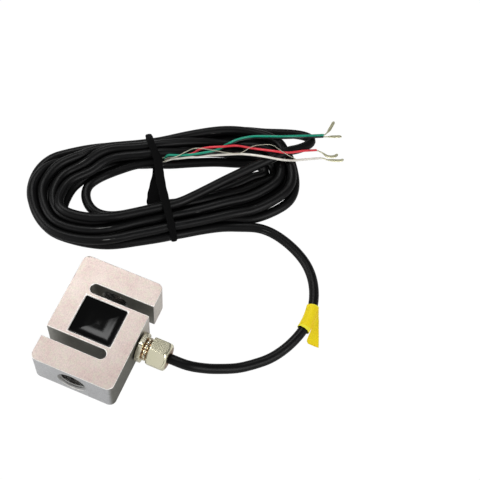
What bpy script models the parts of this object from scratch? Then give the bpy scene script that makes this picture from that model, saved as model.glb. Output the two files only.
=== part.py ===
# S-type load cell: a flat S-shaped beam block with a potted gauge pocket on each large face,
# a cable gland on its right side, and its cable tied in a hank behind it.
# The block lies on its lower large face. X is the block's width, Y its load axis, Z its thickness.
import math

import bmesh
import bpy
from mathutils import Vector

mm = 0.001
gap = 0.3 * mm                      # space between pieces that seat on each other
over = 1.0 * mm                     # how far a cutter runs past the faces that it opens

# S-shaped block
block_width = 50.8 * mm
block_thickness = 25.4 * mm
corner_radius = 4.0 * mm
edge_break = 0.4 * mm
arm_depth = 14.9 * mm               # end face to slot
slot_width = 6.3 * mm
slot_wall = 2.4 * mm                # steel between a slot and the gauge pocket
slot_web = 12.0 * mm                # steel left beyond a slot's closed end
thread_bore = 14.6 * mm             # tapping bore through each arm
thread_mouth = 18.4 * mm
bore_lip = 0.6 * mm                 # small countersink where a bore enters its slot

# gauge pockets
pocket_width = 26.6 * mm
pocket_length = 24.0 * mm
pocket_corner = 2.0 * mm
web_thickness = 3.0 * mm
lead_hole = 3.2 * mm                # passes the lower gauge's leads through the web
lead_hole_place = 7.6 * mm

# cable port in the right side
port_bore = 12.3 * mm
port_depth = 7.6 * mm
passage_bore = 9.2 * mm
passage_bite = 1.8 * mm             # how far the passage drill runs into the pockets

# gauges, board and potting
gauge_side = 8.0 * mm
gauge_thickness = 0.2 * mm
gauge_corner = 0.8 * mm
board_side = 3.8 * mm               # board's ends to the pocket's side walls
board_depth = 5.0 * mm
board_thickness = 1.2 * mm
board_corner = 0.4 * mm
board_margin = 0.8 * mm             # board to the pocket's back wall
resistor_length = 3.2 * mm
resistor_depth = 1.6 * mm
resistor_height = 0.6 * mm
resistor_corner = 0.2 * mm
resistor_spread = 4.5 * mm
potting_recess = 0.5 * mm           # potting below the block's face
potting_dish = 0.4 * mm
potting_rim = 2.6 * mm
wiring_height = 3.4 * mm            # room over the web for board and wires
wiring_side = 2.4 * mm              # room left of the board for the lower gauge's leads
gauge_room = 1.2 * mm

# gland, measured outward from the block's side
nut_flats = 16.0 * mm
flange_flats = 17.4 * mm
flange_trim = 0.5 * mm              # turned off the flange's six corners
ring_section = 1.1 * mm
ring_radius = 7.0 * mm
flange_stand = 0.5 * mm
flange_thickness = 2.6 * mm
thread_stub = 11.7 * mm
neck_length = 4.0 * mm
neck_radius = 7.0 * mm
neck_root = 6.3 * mm
neck_ribs = 13
spigot_radius = 6.2 * mm
spigot_length = 6.0 * mm
seal_wall = 1.6 * mm
seal_length = 6.5 * mm
nut_length = 11.8 * mm
nut_dome = 4.3 * mm
nut_mouth = 5.6 * mm                # radius of the nut's flat nose
claw_length = 5.0 * mm
claw_seat = 1.4 * mm                # how far the claw's tail stands in the spigot
claw_relief = 0.4 * mm              # free length past the claw's nose
claw_collar = 0.9 * mm
claw_fingers = 8
claw_slit = 0.8 * mm
hex_turn = math.radians(45)

# cable
cable_diameter = 6.0 * mm
core_diameter = 1.4 * mm
conductor_diameter = 0.9 * mm
drain_diameter = 0.5 * mm
gauge_lead_diameter = 0.3 * mm
gauge_lead_pitch = 0.8 * mm
gauge_lead_root = 0.5 * mm          # how far a lead starts inside its gauge's edge
jacket_inside = 5.9 * mm            # jacket left inside the port
hank_height = 12.0 * mm
hank_floor = 0.1 * mm
hank_round = 1.8 * mm

# tie round the hank: places of its loop, with its width and thickness there, in millimetres
tie_loop = [
    (-33.4, 138.3, 4.2, 3.2, 2.0), (-32.4, 137.2, 7.6, 4.0, 2.0), (-29.9, 133.6, 11.8, 4.4, 1.9),
    (-26.6, 128.4, 16.2, 4.6, 1.7), (-20.9, 122.1, 17.7, 4.8, 1.6), (-16.5, 117.0, 17.6, 5.0, 1.6),
    (-12.9, 111.1, 17.3, 5.4, 1.6), (-7.6, 102.7, 17.1, 5.6, 1.6), (-2.1, 95.0, 17.4, 5.4, 1.6),
    (1.8, 89.8, 17.7, 5.0, 1.6), (8.0, 82.1, 13.9, 4.6, 1.8), (12.2, 77.2, 8.8, 4.2, 2.0),
    (13.5, 76.0, 4.2, 3.4, 2.0), (12.2, 77.2, 1.4, 3.6, 1.4), (9.4, 80.0, 0.6, 4.6, 0.8),
    (2.0, 87.4, 0.5, 6.4, 0.8), (-8.7, 95.2, 0.5, 8.6, 0.8), (-12.7, 102.6, 0.5, 8.8, 0.8),
    (-15.5, 111.0, 0.5, 7.0, 0.8), (-19.0, 119.7, 0.5, 4.8, 0.8), (-25.6, 128.8, 0.5, 4.2, 0.8),
    (-30.4, 134.6, 0.6, 3.8, 0.8), (-32.4, 137.0, 1.4, 3.4, 1.4)]
tie_far_end = 12
tie_edge = 0.5                      # share of the half thickness broken off at the edges

# label on the cable
label_wall = 0.45 * mm
label_start = 9.0                   # the sleeve lies between these places of the lead's route
label_end = 10.72
flag_thickness = 0.5 * mm
flag_slope = 0.3                    # fall of the flag towards the floor
flag_outline = [(111.9, 69.4), (111.5, 69.3), (112.4, 62.4), (112.1, 53.6), (112.6, 51.8), (112.6, 48.7),
                (112.9, 46.9), (114.1, 45.7), (116.7, 45.4), (120.9, 46.4), (119.1, 51.5), (117.1, 56.7),
                (115.3, 61.3), (113.6, 65.4)]

# derived places
block_length = pocket_length + 2 * (slot_wall + slot_width + arm_depth)
board_width = pocket_width - 2 * board_side
half_width = block_width / 2
half_length = block_length / 2
middle_height = block_thickness / 2
slot_far = half_length - arm_depth
slot_near = slot_far - slot_width
slot_reach = half_width - slot_web
web_top = middle_height + web_thickness / 2
web_bottom = middle_height - web_thickness / 2
seal_inner = cable_diameter / 2 + gap
seal_outer = seal_inner + seal_wall
chamber_radius = seal_outer + gap
flange_start = half_width + flange_stand
flange_end = flange_start + flange_thickness
neck_end = flange_end + neck_length
nut_start = neck_end + gap
nut_end = nut_start + nut_length
spigot_end = neck_end + spigot_length
stub_end = half_width - port_depth + gap
claw_end = spigot_end - claw_seat + claw_length
claw_start = claw_end - claw_length
seal_end = claw_start - gap
seal_start = seal_end - seal_length
jacket_start = half_width - jacket_inside

# the lead's route, from the gland to the hank, chosen by hand
lead_route = [
    (45.0, 0.0, 12.7), (55.7, 0.4, 12.5), (64.8, 3.6, 9.8), (72.8, 8.2, 6.2), (82.0, 14.0, 3.6),
    (90.2, 20.6, 3.1), (97.0, 27.4, 3.1), (102.2, 35.4, 3.1), (106.2, 44.4, 3.5), (108.6, 53.6, 3.9),
    (109.0, 62.4, 3.9), (107.8, 71.0, 3.9), (104.8, 79.8, 3.5), (100.2, 87.8, 3.1), (94.0, 94.4, 3.1),
    (86.4, 99.4, 3.1), (77.8, 103.2, 3.1), (69.8, 105.4, 3.1), (62.5, 106.0, 3.1), (55.7, 105.0, 3.1)]

# centreline of the hank's outermost turn
hank_outside = [
    (69.0, 131.0), (69.0, 141.0), (66.0, 149.0), (61.0, 158.0), (62.0, 168.0), (65.0, 175.5),
    (62.0, 180.0), (56.0, 179.5), (48.0, 176.5), (33.0, 169.5), (15.0, 162.5), (-1.0, 152.5),
    (-16.0, 142.0), (-32.0, 129.5), (-50.0, 119.0), (-66.0, 109.0), (-77.0, 98.0), (-81.5, 84.0),
    (-80.0, 70.0), (-72.0, 60.0), (-59.0, 53.5), (-43.0, 51.5), (-27.0, 55.0), (-12.0, 63.0),
    (6.0, 76.0), (24.0, 88.5), (40.0, 99.0), (52.0, 110.0), (61.0, 120.0)]

# edge of the hank's hole
hank_hole = [
    (-45.0, 84.0), (-44.0, 94.0), (-38.0, 104.0), (-27.0, 111.5), (-12.0, 119.0), (4.0, 126.5),
    (17.0, 132.5), (24.5, 133.5), (22.0, 125.0), (13.0, 112.0), (3.0, 99.5), (-11.0, 88.5),
    (-25.0, 80.0), (-37.0, 76.0)]

# the bare cores past the jacket's end, lying on the hank and drooping to the floor beyond it
core_routes = {
    "green": [(-13.5, 124.4, 13.1), (-0.3, 131.9, 13.1), (12.5, 141.6, 13.1), (21.5, 153.6, 13.1),
              (31.0, 161.2, 13.1), (48.0, 169.4, 13.1), (60.7, 177.8, 13.1), (67.5, 183.4, 12.9),
              (71.8, 186.6, 11.0)],
    "black": [(-12.8, 122.9, 13.1), (1.0, 130.4, 13.1), (14.5, 139.4, 13.1), (23.5, 151.2, 13.1),
              (32.0, 158.9, 13.1), (49.0, 167.1, 13.1), (61.6, 175.4, 13.1), (68.6, 181.0, 12.9),
              (72.6, 184.0, 11.0)],
    "red": [(-14.5, 126.3, 13.1), (-6.0, 132.4, 14.4), (2.3, 137.3, 15.0), (14.2, 144.4, 15.6),
            (23.8, 149.8, 15.2), (33.5, 152.4, 13.4), (46.0, 156.4, 13.1), (56.0, 160.6, 13.1),
            (65.5, 167.6, 12.9), (72.4, 173.2, 8.4), (76.0, 175.6, 5.2)],
    "white": [(-11.4, 120.1, 13.1), (5.9, 131.0, 13.1), (26.8, 143.4, 13.1), (36.0, 147.3, 13.1),
              (48.0, 151.3, 13.1), (60.3, 157.0, 13.1), (66.6, 161.0, 12.6), (72.6, 165.4, 9.6),
              (77.4, 169.0, 6.4)]}
conductor_routes = {
    "green": [(73.6, 193.0, 7.0), (74.2, 201.0, 1.6)],
    "black": [(77.4, 188.0, 5.8), (82.4, 193.4, 1.0)],
    "red": [(81.2, 178.4, 2.2), (86.0, 181.6, 1.0)],
    "white": [(83.2, 173.4, 3.0), (90.0, 178.4, 1.0)]}
drain_route = [
    (-8.6, 127.4, 15.2), (-2.2, 130.6, 15.6), (4.0, 134.2, 15.2), (14.0, 140.2, 17.2), (26.0, 146.6, 17.2),
    (33.2, 153.6, 15.6), (38.6, 157.2, 15.4), (44.6, 159.7, 15.4), (50.8, 159.0, 15.4),
    (57.0, 157.6, 15.4), (63.0, 156.6, 13.6)]

# the same four cores inside the block, from the jacket's end to the board
tail_rows = {"red": -1.5, "black": -0.5, "green": 0.5, "white": 1.5}
tail_pitch = 1.75 * mm
pad_pitch = 4.0 * mm
tail_step = 1.6 * mm                # length over which the cores fan out
tail_fan = 1.0 * mm
tail_rise = 1.6 * mm                # the inner cores cross above the outer ones
tail_drop = 0.7 * mm
tail_settle = 0.6 * mm
tail_before = 1.2 * mm              # from the pocket's wall back into the passage
tail_after = 0.8 * mm
tail_climb = 4.0 * mm               # from the pocket's wall up to the board
tail_turn = 2.4 * mm                # bend towards the solder pads

colours = {
    "steel": ((0.62, 0.59, 0.56), 0.38, 1.0),
    "plated": ((0.55, 0.53, 0.44), 0.28, 1.0),
    "potting": ((0.010, 0.010, 0.011), 0.12, 0.0),
    "rubber": ((0.018, 0.018, 0.018), 0.65, 0.0),
    "cable": ((0.016, 0.016, 0.017), 0.42, 0.0),
    "tie": ((0.008, 0.008, 0.008), 0.75, 0.0),
    "label": ((0.88, 0.60, 0.03), 0.45, 0.0),
    "red": ((0.64, 0.05, 0.07), 0.40, 0.0),
    "green": ((0.01, 0.27, 0.17), 0.40, 0.0),
    "black": ((0.02, 0.02, 0.02), 0.40, 0.0),
    "white": ((0.83, 0.80, 0.70), 0.40, 0.0),
    "tinned": ((0.58, 0.55, 0.42), 0.35, 1.0),
    "foil": ((0.72, 0.45, 0.20), 0.40, 0.3),
    "board": ((0.03, 0.22, 0.09), 0.45, 0.0),
    "resistor": ((0.05, 0.05, 0.06), 0.50, 0.0),
    "enamel": ((0.45, 0.16, 0.05), 0.35, 0.4)}


def clear_scene():
    for thing in list(bpy.data.objects):
        bpy.data.objects.remove(thing, do_unlink=True)


def make_material(name):
    colour, roughness, metallic = colours[name]
    material = bpy.data.materials.new(name)
    material.use_nodes = True
    shader = material.node_tree.nodes["Principled BSDF"]
    shader.inputs["Base Color"].default_value = (*colour, 1.0)
    shader.inputs["Roughness"].default_value = roughness
    shader.inputs["Metallic"].default_value = metallic
    material.diffuse_color = (*colour, 1.0)
    return material


def new_object(name, bm, material=None):
    """Puts a bmesh into a named object, its faces turned outward."""
    bmesh.ops.remove_doubles(bm, verts=bm.verts, dist=0.001 * mm)
    bmesh.ops.recalc_face_normals(bm, faces=bm.faces)
    mesh = bpy.data.meshes.new(name)
    bm.to_mesh(mesh)
    bm.free()
    thing = bpy.data.objects.new(name, mesh)
    bpy.context.scene.collection.objects.link(thing)
    if material:
        mesh.materials.append(material)
        mesh.shade_smooth()
        mesh.set_sharp_from_angle(angle=math.radians(28))
    return thing


def rounded_rectangle(width, length, radius, steps=4):
    """Points of a rectangle about the origin with quarter-circle corners, anticlockwise."""
    points = []
    corners = ((1, 1, 0), (-1, 1, 90), (-1, -1, 180), (1, -1, 270))
    for side_x, side_y, start in corners:
        centre = Vector((side_x * (width / 2 - radius), side_y * (length / 2 - radius)))
        for step in range(steps + 1):
            angle = math.radians(start + 90 * step / steps)
            points.append(centre + radius * Vector((math.cos(angle), math.sin(angle))))
    return points


def stack(rings, flip=False):
    """Closed solid through rings of equal point counts, capped at both ends."""
    bm = bmesh.new()
    loops = [[bm.verts.new(point) for point in ring] for ring in rings]
    for lower, upper in zip(loops, loops[1:]):
        for index, vert in enumerate(lower):
            after = (index + 1) % len(lower)
            bm.faces.new((vert, lower[after], upper[after], upper[index]))
    bm.faces.new(loops[0][::-1])
    bm.faces.new(loops[-1])
    return bm


def flat_rings(levels):
    """Rings for stack from (outline, height) pairs."""
    return [[(point.x, point.y, height) for point in outline] for outline, height in levels]


def turned(profile, axis, steps=40):
    """Solid of revolution of (distance along axis, radius) points about the X or Y axis."""
    bm = bmesh.new()
    if axis == "X":
        points = [Vector((along, 0, radius)) for along, radius in profile]
        spin_axis = (1, 0, 0)
    else:
        points = [Vector((0, along, radius)) for along, radius in profile]
        spin_axis = (0, 1, 0)
    verts = [bm.verts.new(point) for point in points]
    closed = profile[0][1] > 0
    edges = [bm.edges.new(pair) for pair in zip(verts, verts[1:])]
    if closed:
        edges.append(bm.edges.new((verts[-1], verts[0])))
    bmesh.ops.spin(bm, geom=verts + edges, cent=(0, 0, 0), axis=spin_axis,
                   angle=math.tau, steps=steps, use_merge=True)
    return bm


def raise_mesh(bm, height):
    bmesh.ops.translate(bm, vec=(0, 0, height), verts=bm.verts)
    return bm


def cut(target, cutter, operation="DIFFERENCE"):
    """Boolean of a cutter on a target. The cutter stays as a hidden wire guide."""
    cutter.hide_render = True
    cutter.display_type = "WIRE"
    step = target.modifiers.new(cutter.name, "BOOLEAN")
    step.operation = operation
    step.solver = "EXACT"
    step.object = cutter


def catmull(points, index, share, cyclic):
    """Point on the smooth curve that passes through all the points."""
    count = len(points)
    if cyclic:
        picks = [points[(index + shift) % count] for shift in (-1, 0, 1, 2)]
    else:
        picks = [points[min(max(index + shift, 0), count - 1)] for shift in (-1, 0, 1, 2)]
    before, start, end, after = picks
    return 0.5 * ((2 * start) + (end - before) * share
                  + (2 * before - 5 * start + 4 * end - after) * share ** 2
                  + (3 * start - before - 3 * end + after) * share ** 3)


def smooth_path(points, spacing, cyclic=False):
    """Evenly spaced points along the smooth curve through the given ones."""
    dense = []
    spans = len(points) if cyclic else len(points) - 1
    for index in range(spans):
        dense += [catmull(points, index, step / 24, cyclic) for step in range(24)]
    dense.append(points[0].copy() if cyclic else points[-1].copy())
    lengths = [0.0]
    for first, second in zip(dense, dense[1:]):
        lengths.append(lengths[-1] + (second - first).length)
    count = max(2, round(lengths[-1] / spacing))
    even = []
    place = 0
    for step in range(count + 1):
        goal = lengths[-1] * step / count
        while place < len(dense) - 2 and lengths[place + 1] < goal:
            place += 1
        share = (goal - lengths[place]) / max(lengths[place + 1] - lengths[place], 1e-9)
        even.append(dense[place].lerp(dense[place + 1], share))
    return even[:-1] if cyclic else even


def in_metres(route):
    return [Vector(point) * mm for point in route]


def tube(name, points, diameter, material, resolution=2):
    """Round cord as a polyline curve with a bevel and filled ends."""
    curve = bpy.data.curves.new(name, "CURVE")
    curve.dimensions = "3D"
    curve.bevel_depth = diameter / 2
    curve.bevel_resolution = resolution
    curve.use_fill_caps = True
    spline = curve.splines.new("POLY")
    spline.points.add(len(points) - 1)
    for target, point in zip(spline.points, points):
        target.co = (*point, 1.0)
    curve.materials.append(material)
    thing = bpy.data.objects.new(name, curve)
    bpy.context.scene.collection.objects.link(thing)
    return thing


def s_outline():
    """The block's S profile, anticlockwise: two arms joined by a middle between two slots."""
    points = []

    def arc(centre_x, centre_y, radius, start, sweep, steps):
        for step in range(steps + 1):
            angle = math.radians(start + sweep * step / steps)
            points.append(Vector((centre_x + radius * math.cos(angle),
                                  centre_y + radius * math.sin(angle))))

    inset_x = half_width - corner_radius
    inset_y = half_length - corner_radius
    end_radius = slot_width / 2
    slot_line = slot_near + end_radius
    end_centre = slot_reach - end_radius
    arc(-inset_x, -inset_y, corner_radius, 180, 90, 8)
    arc(inset_x, -inset_y, corner_radius, 270, 90, 8)
    points.append(Vector((half_width, slot_near)))
    arc(-end_centre, slot_line, end_radius, 270, -180, 16)
    points.append(Vector((half_width, slot_far)))
    arc(inset_x, inset_y, corner_radius, 0, 90, 8)
    arc(-inset_x, inset_y, corner_radius, 90, 90, 8)
    points.append(Vector((-half_width, -slot_near)))
    arc(end_centre, -slot_line, end_radius, 90, -180, 16)
    points.append(Vector((-half_width, -slot_far)))
    return points


def pocket_cutter(name, floor_height, mouth_height):
    """Round-cornered pocket whose mouth has the same broken edge as the block."""
    outward = 1 if mouth_height > floor_height else -1
    levels = []
    for grow, height in ((0, floor_height), (0, mouth_height - outward * edge_break),
                         (3 * edge_break, mouth_height + outward * 2 * edge_break)):
        outline = rounded_rectangle(pocket_width + 2 * grow, pocket_length + 2 * grow,
                                    pocket_corner + grow)
        levels.append((outline, height))
    return new_object(name, stack(flat_rings(levels)))


def make_block(steel):
    outline = s_outline()
    block = new_object("s_beam_body", stack(flat_rings(((outline, 0.0), (outline, block_thickness)))), steel)
    breaks = block.modifiers.new("edge_break", "BEVEL")
    breaks.width = edge_break
    breaks.segments = 1
    breaks.limit_method = "ANGLE"
    breaks.angle_limit = math.radians(40)
    cut(block, pocket_cutter("pocket_upper", web_top, block_thickness))
    cut(block, pocket_cutter("pocket_lower", web_bottom, 0.0))
    mouth = (thread_mouth - thread_bore) / 2
    for side, name in ((-1, "bore_front"), (1, "bore_back")):
        profile = [(side * (half_length + over), 0), (side * (half_length + over), thread_mouth / 2 + over),
                   (side * (half_length - mouth), thread_bore / 2),
                   (side * (slot_far + bore_lip), thread_bore / 2),
                   (side * (slot_far - over), thread_bore / 2 + bore_lip + over),
                   (side * (slot_far - over), 0)]
        cut(block, new_object(name, raise_mesh(turned(profile, "Y"), middle_height)))
    passage_end = pocket_width / 2 - passage_bite
    profile = [(passage_end, 0), (passage_end, passage_bore / 2),
               (half_width - port_depth, passage_bore / 2), (half_width - port_depth, port_bore / 2),
               (half_width - edge_break, port_bore / 2), (half_width + over, port_bore / 2 + edge_break + over),
               (half_width + over, 0)]
    cut(block, new_object("cable_port", raise_mesh(turned(profile, "X", 32), middle_height)))
    hole = [Vector((lead_hole / 2 * math.cos(math.tau * step / 16),
                    -lead_hole_place + lead_hole / 2 * math.sin(math.tau * step / 16))) for step in range(16)]
    cut(block, new_object("lead_hole", stack(flat_rings(((hole, web_bottom - over), (hole, web_top + over))))))
    return block


def make_potting(name, material, side):
    """Poured filling of one pocket, dished on its open face, hollow over gauge and wires."""
    width = pocket_width - 2 * gap
    length = pocket_length - 2 * gap
    corner = pocket_corner - gap
    inner = rounded_rectangle(width, length, corner)
    rim = rounded_rectangle(width - 2 * potting_rim, length - 2 * potting_rim, corner)
    web_face = middle_height + side * (web_thickness / 2 + gap)
    open_face = middle_height + side * (middle_height - potting_recess)
    levels = [(inner, web_face), (inner, open_face), (rim, open_face - side * potting_dish)]
    filling = new_object(name, stack(flat_rings(levels)), material)
    room = wiring_height if side > 0 else gauge_room
    reach = half_width if side > 0 else gauge_side / 2 + over
    left = board_width / 2 + wiring_side if side > 0 else gauge_side / 2 + over
    back = pocket_length / 2 - board_margin / 2 if side > 0 else gauge_side / 2 + over
    front = lead_hole_place + lead_hole / 2 + gap
    floor = web_face - side * over
    roof = middle_height + side * (web_thickness / 2 + room)
    room_outline = [Vector((-left, -front)), Vector((reach, -front)), Vector((reach, back)),
                    Vector((-left, back))]
    cut(filling, new_object(name + "_room", stack(flat_rings(((room_outline, floor), (room_outline, roof))))))
    return filling


def make_plate(name, material, width, length, corner, bottom, height, centre=(0.0, 0.0)):
    outline = [point + Vector(centre) for point in rounded_rectangle(width, length, corner, 3)]
    return new_object(name, stack(flat_rings(((outline, bottom), (outline, bottom + height)))), material)


def make_bridge(materials):
    """Gauges on both faces of the web, the wiring board, its resistors and all fine leads."""
    make_plate("strain_gauge_top", materials["foil"], gauge_side, gauge_side, gauge_corner,
               web_top + gap, gauge_thickness)
    make_plate("strain_gauge_bottom", materials["foil"], gauge_side, gauge_side, gauge_corner,
               web_bottom - gap - gauge_thickness, gauge_thickness)
    board_middle = pocket_length / 2 - board_margin - board_depth / 2
    board_top = web_top + gap + board_thickness
    make_plate("bridge_board", materials["board"], board_width, board_depth, board_corner,
               web_top + gap, board_thickness, (0.0, board_middle))
    for side in (-1, 1):
        make_plate("trim_resistor_" + ("left" if side < 0 else "right"), materials["resistor"],
                   resistor_length, resistor_depth, resistor_corner, board_top + gap, resistor_height,
                   (side * resistor_spread, board_middle + board_depth / 2 - resistor_depth))
    lead_radius = gauge_lead_diameter / 2
    above_web = web_top + gap + gauge_thickness + gap + lead_radius
    above_board = board_top + gap + lead_radius
    under_web = web_bottom - gap - gauge_thickness - gap - lead_radius
    board_edge = board_middle - board_depth / 2
    gauge_edge = gauge_side / 2 - gauge_lead_root
    pitch = gauge_lead_pitch
    for index in range(3):
        offset = (index - 1) * pitch
        row = index * 0.9 * pitch
        route = [(offset, gauge_edge, above_web), (offset, board_edge - 2 * pitch, above_web + gap),
                 (offset, board_edge - pitch / 2, above_board), (offset, board_edge + pitch, above_board)]
        tube("gauge_lead_top_%d" % (index + 1), smooth_path([Vector(p) for p in route], 0.6 * mm),
             gauge_lead_diameter, materials["enamel"])
        side_line = -board_width / 2 - pitch / 2 - row
        landing = -board_width / 2 + 2 * pitch
        route = [(offset, -gauge_edge, under_web), (offset, -lead_hole_place + pitch, under_web),
                 (offset, -lead_hole_place, middle_height),
                 (offset - pitch / 4, -lead_hole_place - row / 2, above_web),
                 (offset - 2 * pitch, -lead_hole_place - row, above_web),
                 (side_line + 3 * pitch, -lead_hole_place - row, above_web),
                 (side_line, -lead_hole_place + 3 * pitch, above_web),
                 (side_line, board_edge - 2 * pitch, above_web),
                 (side_line + pitch / 4, board_edge + row, above_board),
                 (landing - pitch, board_edge + pitch + row, above_board),
                 (landing, board_edge + pitch + row, above_board)]
        tube("gauge_lead_bottom_%d" % (index + 1), smooth_path([Vector(p) for p in route], 1.5 * mm),
             gauge_lead_diameter, materials["enamel"])
    core_radius = core_diameter / 2
    entry_height = web_top + 1.35 * gap + core_radius
    board_height = board_top + gap + core_radius
    start = jacket_start - gap
    packed = core_radius + gap / 2
    for name, row in tail_rows.items():
        side = 1 if row > 0 else -1
        outer = abs(row) > 1
        lift = -packed if outer else packed
        wide = row * tail_pitch
        early = Vector((start - tail_step, side * (packed + (tail_fan if outer else 0)),
                        middle_height + (-tail_drop if outer else tail_rise)))
        later = Vector((start - 2 * tail_step, wide, middle_height + tail_settle if outer else entry_height))
        pad = row * pad_pitch
        route = [Vector((start, side * packed, middle_height + lift)), early, later,
                 Vector((pocket_width / 2 + tail_before, wide, entry_height)),
                 Vector((pocket_width / 2 - tail_after, wide, entry_height)),
                 Vector((pocket_width / 2 - tail_climb, wide, board_height)),
                 Vector((pad + tail_turn, wide, board_height)), Vector((pad, wide + tail_turn, board_height)),
                 Vector((pad, board_middle, board_height))]
        tube("core_tail_" + name, smooth_path(route, 1.8 * mm), core_diameter, materials[name])


def hex_prism(start, end, flats, turn):
    """Hexagonal bar along X."""
    radius = flats / math.sqrt(3)
    ring = [(radius * math.cos(turn + math.tau * step / 6), radius * math.sin(turn + math.tau * step / 6))
            for step in range(6)]
    return raise_mesh(stack([[(along, y, z) for y, z in ring] for along in (start, end)]), middle_height)


def ribbed_bar(start, end, root, crest, ribs):
    """Round bar along X with flat-topped ribs."""
    ring = []
    for rib in range(ribs):
        for share, radius in ((0.0, root), (0.34, root), (0.50, crest), (0.84, crest)):
            angle = math.tau * (rib + share) / ribs
            ring.append((radius * math.cos(angle), radius * math.sin(angle)))
    return raise_mesh(stack([[(along, y, z) for y, z in ring] for along in (start, end)]), middle_height)


def make_gland(materials):
    """Gland body in the port, sealing ring under its flange, rubber seal, claw and cap nut."""
    plated = materials["plated"]
    section = ring_section / 2
    ring = [(half_width + gap + section + section * math.cos(math.tau * step / 8),
             ring_radius + section * math.sin(math.tau * step / 8)) for step in range(8)]
    new_object("gland_o_ring", raise_mesh(turned(ring, "X", 32), middle_height), materials["rubber"])

    spindle = [(stub_end, 0), (stub_end, thread_stub / 2), (flange_start + over, thread_stub / 2),
               (flange_start + over, spigot_radius), (spigot_end - edge_break, spigot_radius),
               (spigot_end, spigot_radius - edge_break), (spigot_end, 0)]
    body = new_object("gland_body", raise_mesh(turned(spindle, "X"), middle_height), plated)
    flange = new_object("flange_hex", hex_prism(flange_start, flange_end, flange_flats, hex_turn))
    rim = flange_flats / math.sqrt(3) - flange_trim
    trim = [(flange_start - over, 0), (flange_start - over, rim), (flange_end - edge_break, rim),
            (flange_end + edge_break, rim - 2 * edge_break), (flange_end + edge_break, 0)]
    cut(flange, new_object("flange_rim", raise_mesh(turned(trim, "X"), middle_height)), "INTERSECT")
    cut(body, flange, "UNION")
    cut(body, new_object("neck", ribbed_bar(flange_end - over, neck_end, neck_root, neck_radius, neck_ribs)),
        "UNION")
    bore = [(stub_end - over, 0), (stub_end - over, seal_inner + gap), (seal_start - gap, seal_inner + gap),
            (seal_start - gap, chamber_radius), (spigot_end + over, chamber_radius), (spigot_end + over, 0)]
    cut(body, new_object("gland_bore", raise_mesh(turned(bore, "X", 32), middle_height)))
    groove_half = section + gap
    groove = [(flange_start - over, ring_radius - groove_half),
              (flange_start - over, ring_radius + groove_half),
              (half_width + ring_section + 2 * gap, ring_radius + groove_half),
              (half_width + ring_section + 2 * gap, ring_radius - groove_half)]
    cut(body, new_object("ring_groove", raise_mesh(turned(groove, "X"), middle_height)))

    seal = [(seal_start, seal_inner), (seal_start, seal_outer), (seal_end, seal_outer), (seal_end, seal_inner)]
    new_object("gland_seal", raise_mesh(turned(seal, "X", 32), middle_height), materials["rubber"])

    collar_start = spigot_end + gap
    collar_end = collar_start + claw_collar
    nose_radius = seal_inner + seal_wall / 2
    claw_profile = [(claw_start, seal_inner), (claw_start, seal_outer), (collar_start, seal_outer),
                    (collar_start, spigot_radius - gap), (collar_end, spigot_radius - gap),
                    (claw_end, nose_radius), (claw_end, seal_inner)]
    claw = new_object("gland_claw", raise_mesh(turned(claw_profile, "X", 32), middle_height),
                      materials["rubber"])
    for finger in range(claw_fingers // 2):
        angle = math.tau * (finger + 0.25) / claw_fingers
        across = Vector((0, math.cos(angle), math.sin(angle)))
        beside = Vector((0, -math.sin(angle), math.cos(angle)))
        rings = []
        for along in (collar_end + gap, claw_end + over):
            base = Vector((along, 0, middle_height))
            rings.append([base + across * (reach * 2 * spigot_radius) + beside * (shift * claw_slit / 2)
                          for reach, shift in ((-1, -1), (1, -1), (1, 1), (-1, 1))])
        cut(claw, new_object("claw_slit_%d" % finger, stack(rings)))

    nut = new_object("gland_nut", hex_prism(nut_start, nut_end, nut_flats, hex_turn), plated)
    corner = nut_flats / math.sqrt(3)
    crown = [(nut_start - over, 0), (nut_start - over, corner - 2 * edge_break - over),
             (nut_start + 2 * edge_break, corner + over)]
    dome_start = nut_end - nut_dome
    for step in range(7):
        angle = math.radians(90 * step / 6)
        crown.append((dome_start + nut_dome * math.sin(angle),
                      nut_mouth + (corner - nut_mouth) * math.cos(angle)))
    crown += [(nut_end + over, nut_mouth), (nut_end + over, 0)]
    cut(nut, new_object("nut_crown", raise_mesh(turned(crown, "X", 48), middle_height)), "INTERSECT")
    cone_end = claw_end + claw_relief
    bore = [(nut_start - over, 0), (nut_start - over, spigot_radius + gap),
            (collar_end + gap, spigot_radius + gap),
            (cone_end, nose_radius + gap), (cone_end, seal_inner + gap), (nut_end + over, seal_inner + gap),
            (nut_end + over, 0)]
    cut(nut, new_object("nut_bore", raise_mesh(turned(bore, "X", 32), middle_height)))


def side_of(points, index, cyclic=True):
    """Unit vector pointing to the right of the direction of travel."""
    count = len(points)
    before = points[(index - 1) % count] if cyclic else points[max(index - 1, 0)]
    after = points[(index + 1) % count] if cyclic else points[min(index + 1, count - 1)]
    along = (after - before).normalized()
    return Vector((along.y, -along.x))


def offset_outline(points, distance):
    return [point + side_of(points, index) * distance for index, point in enumerate(points)]


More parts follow.
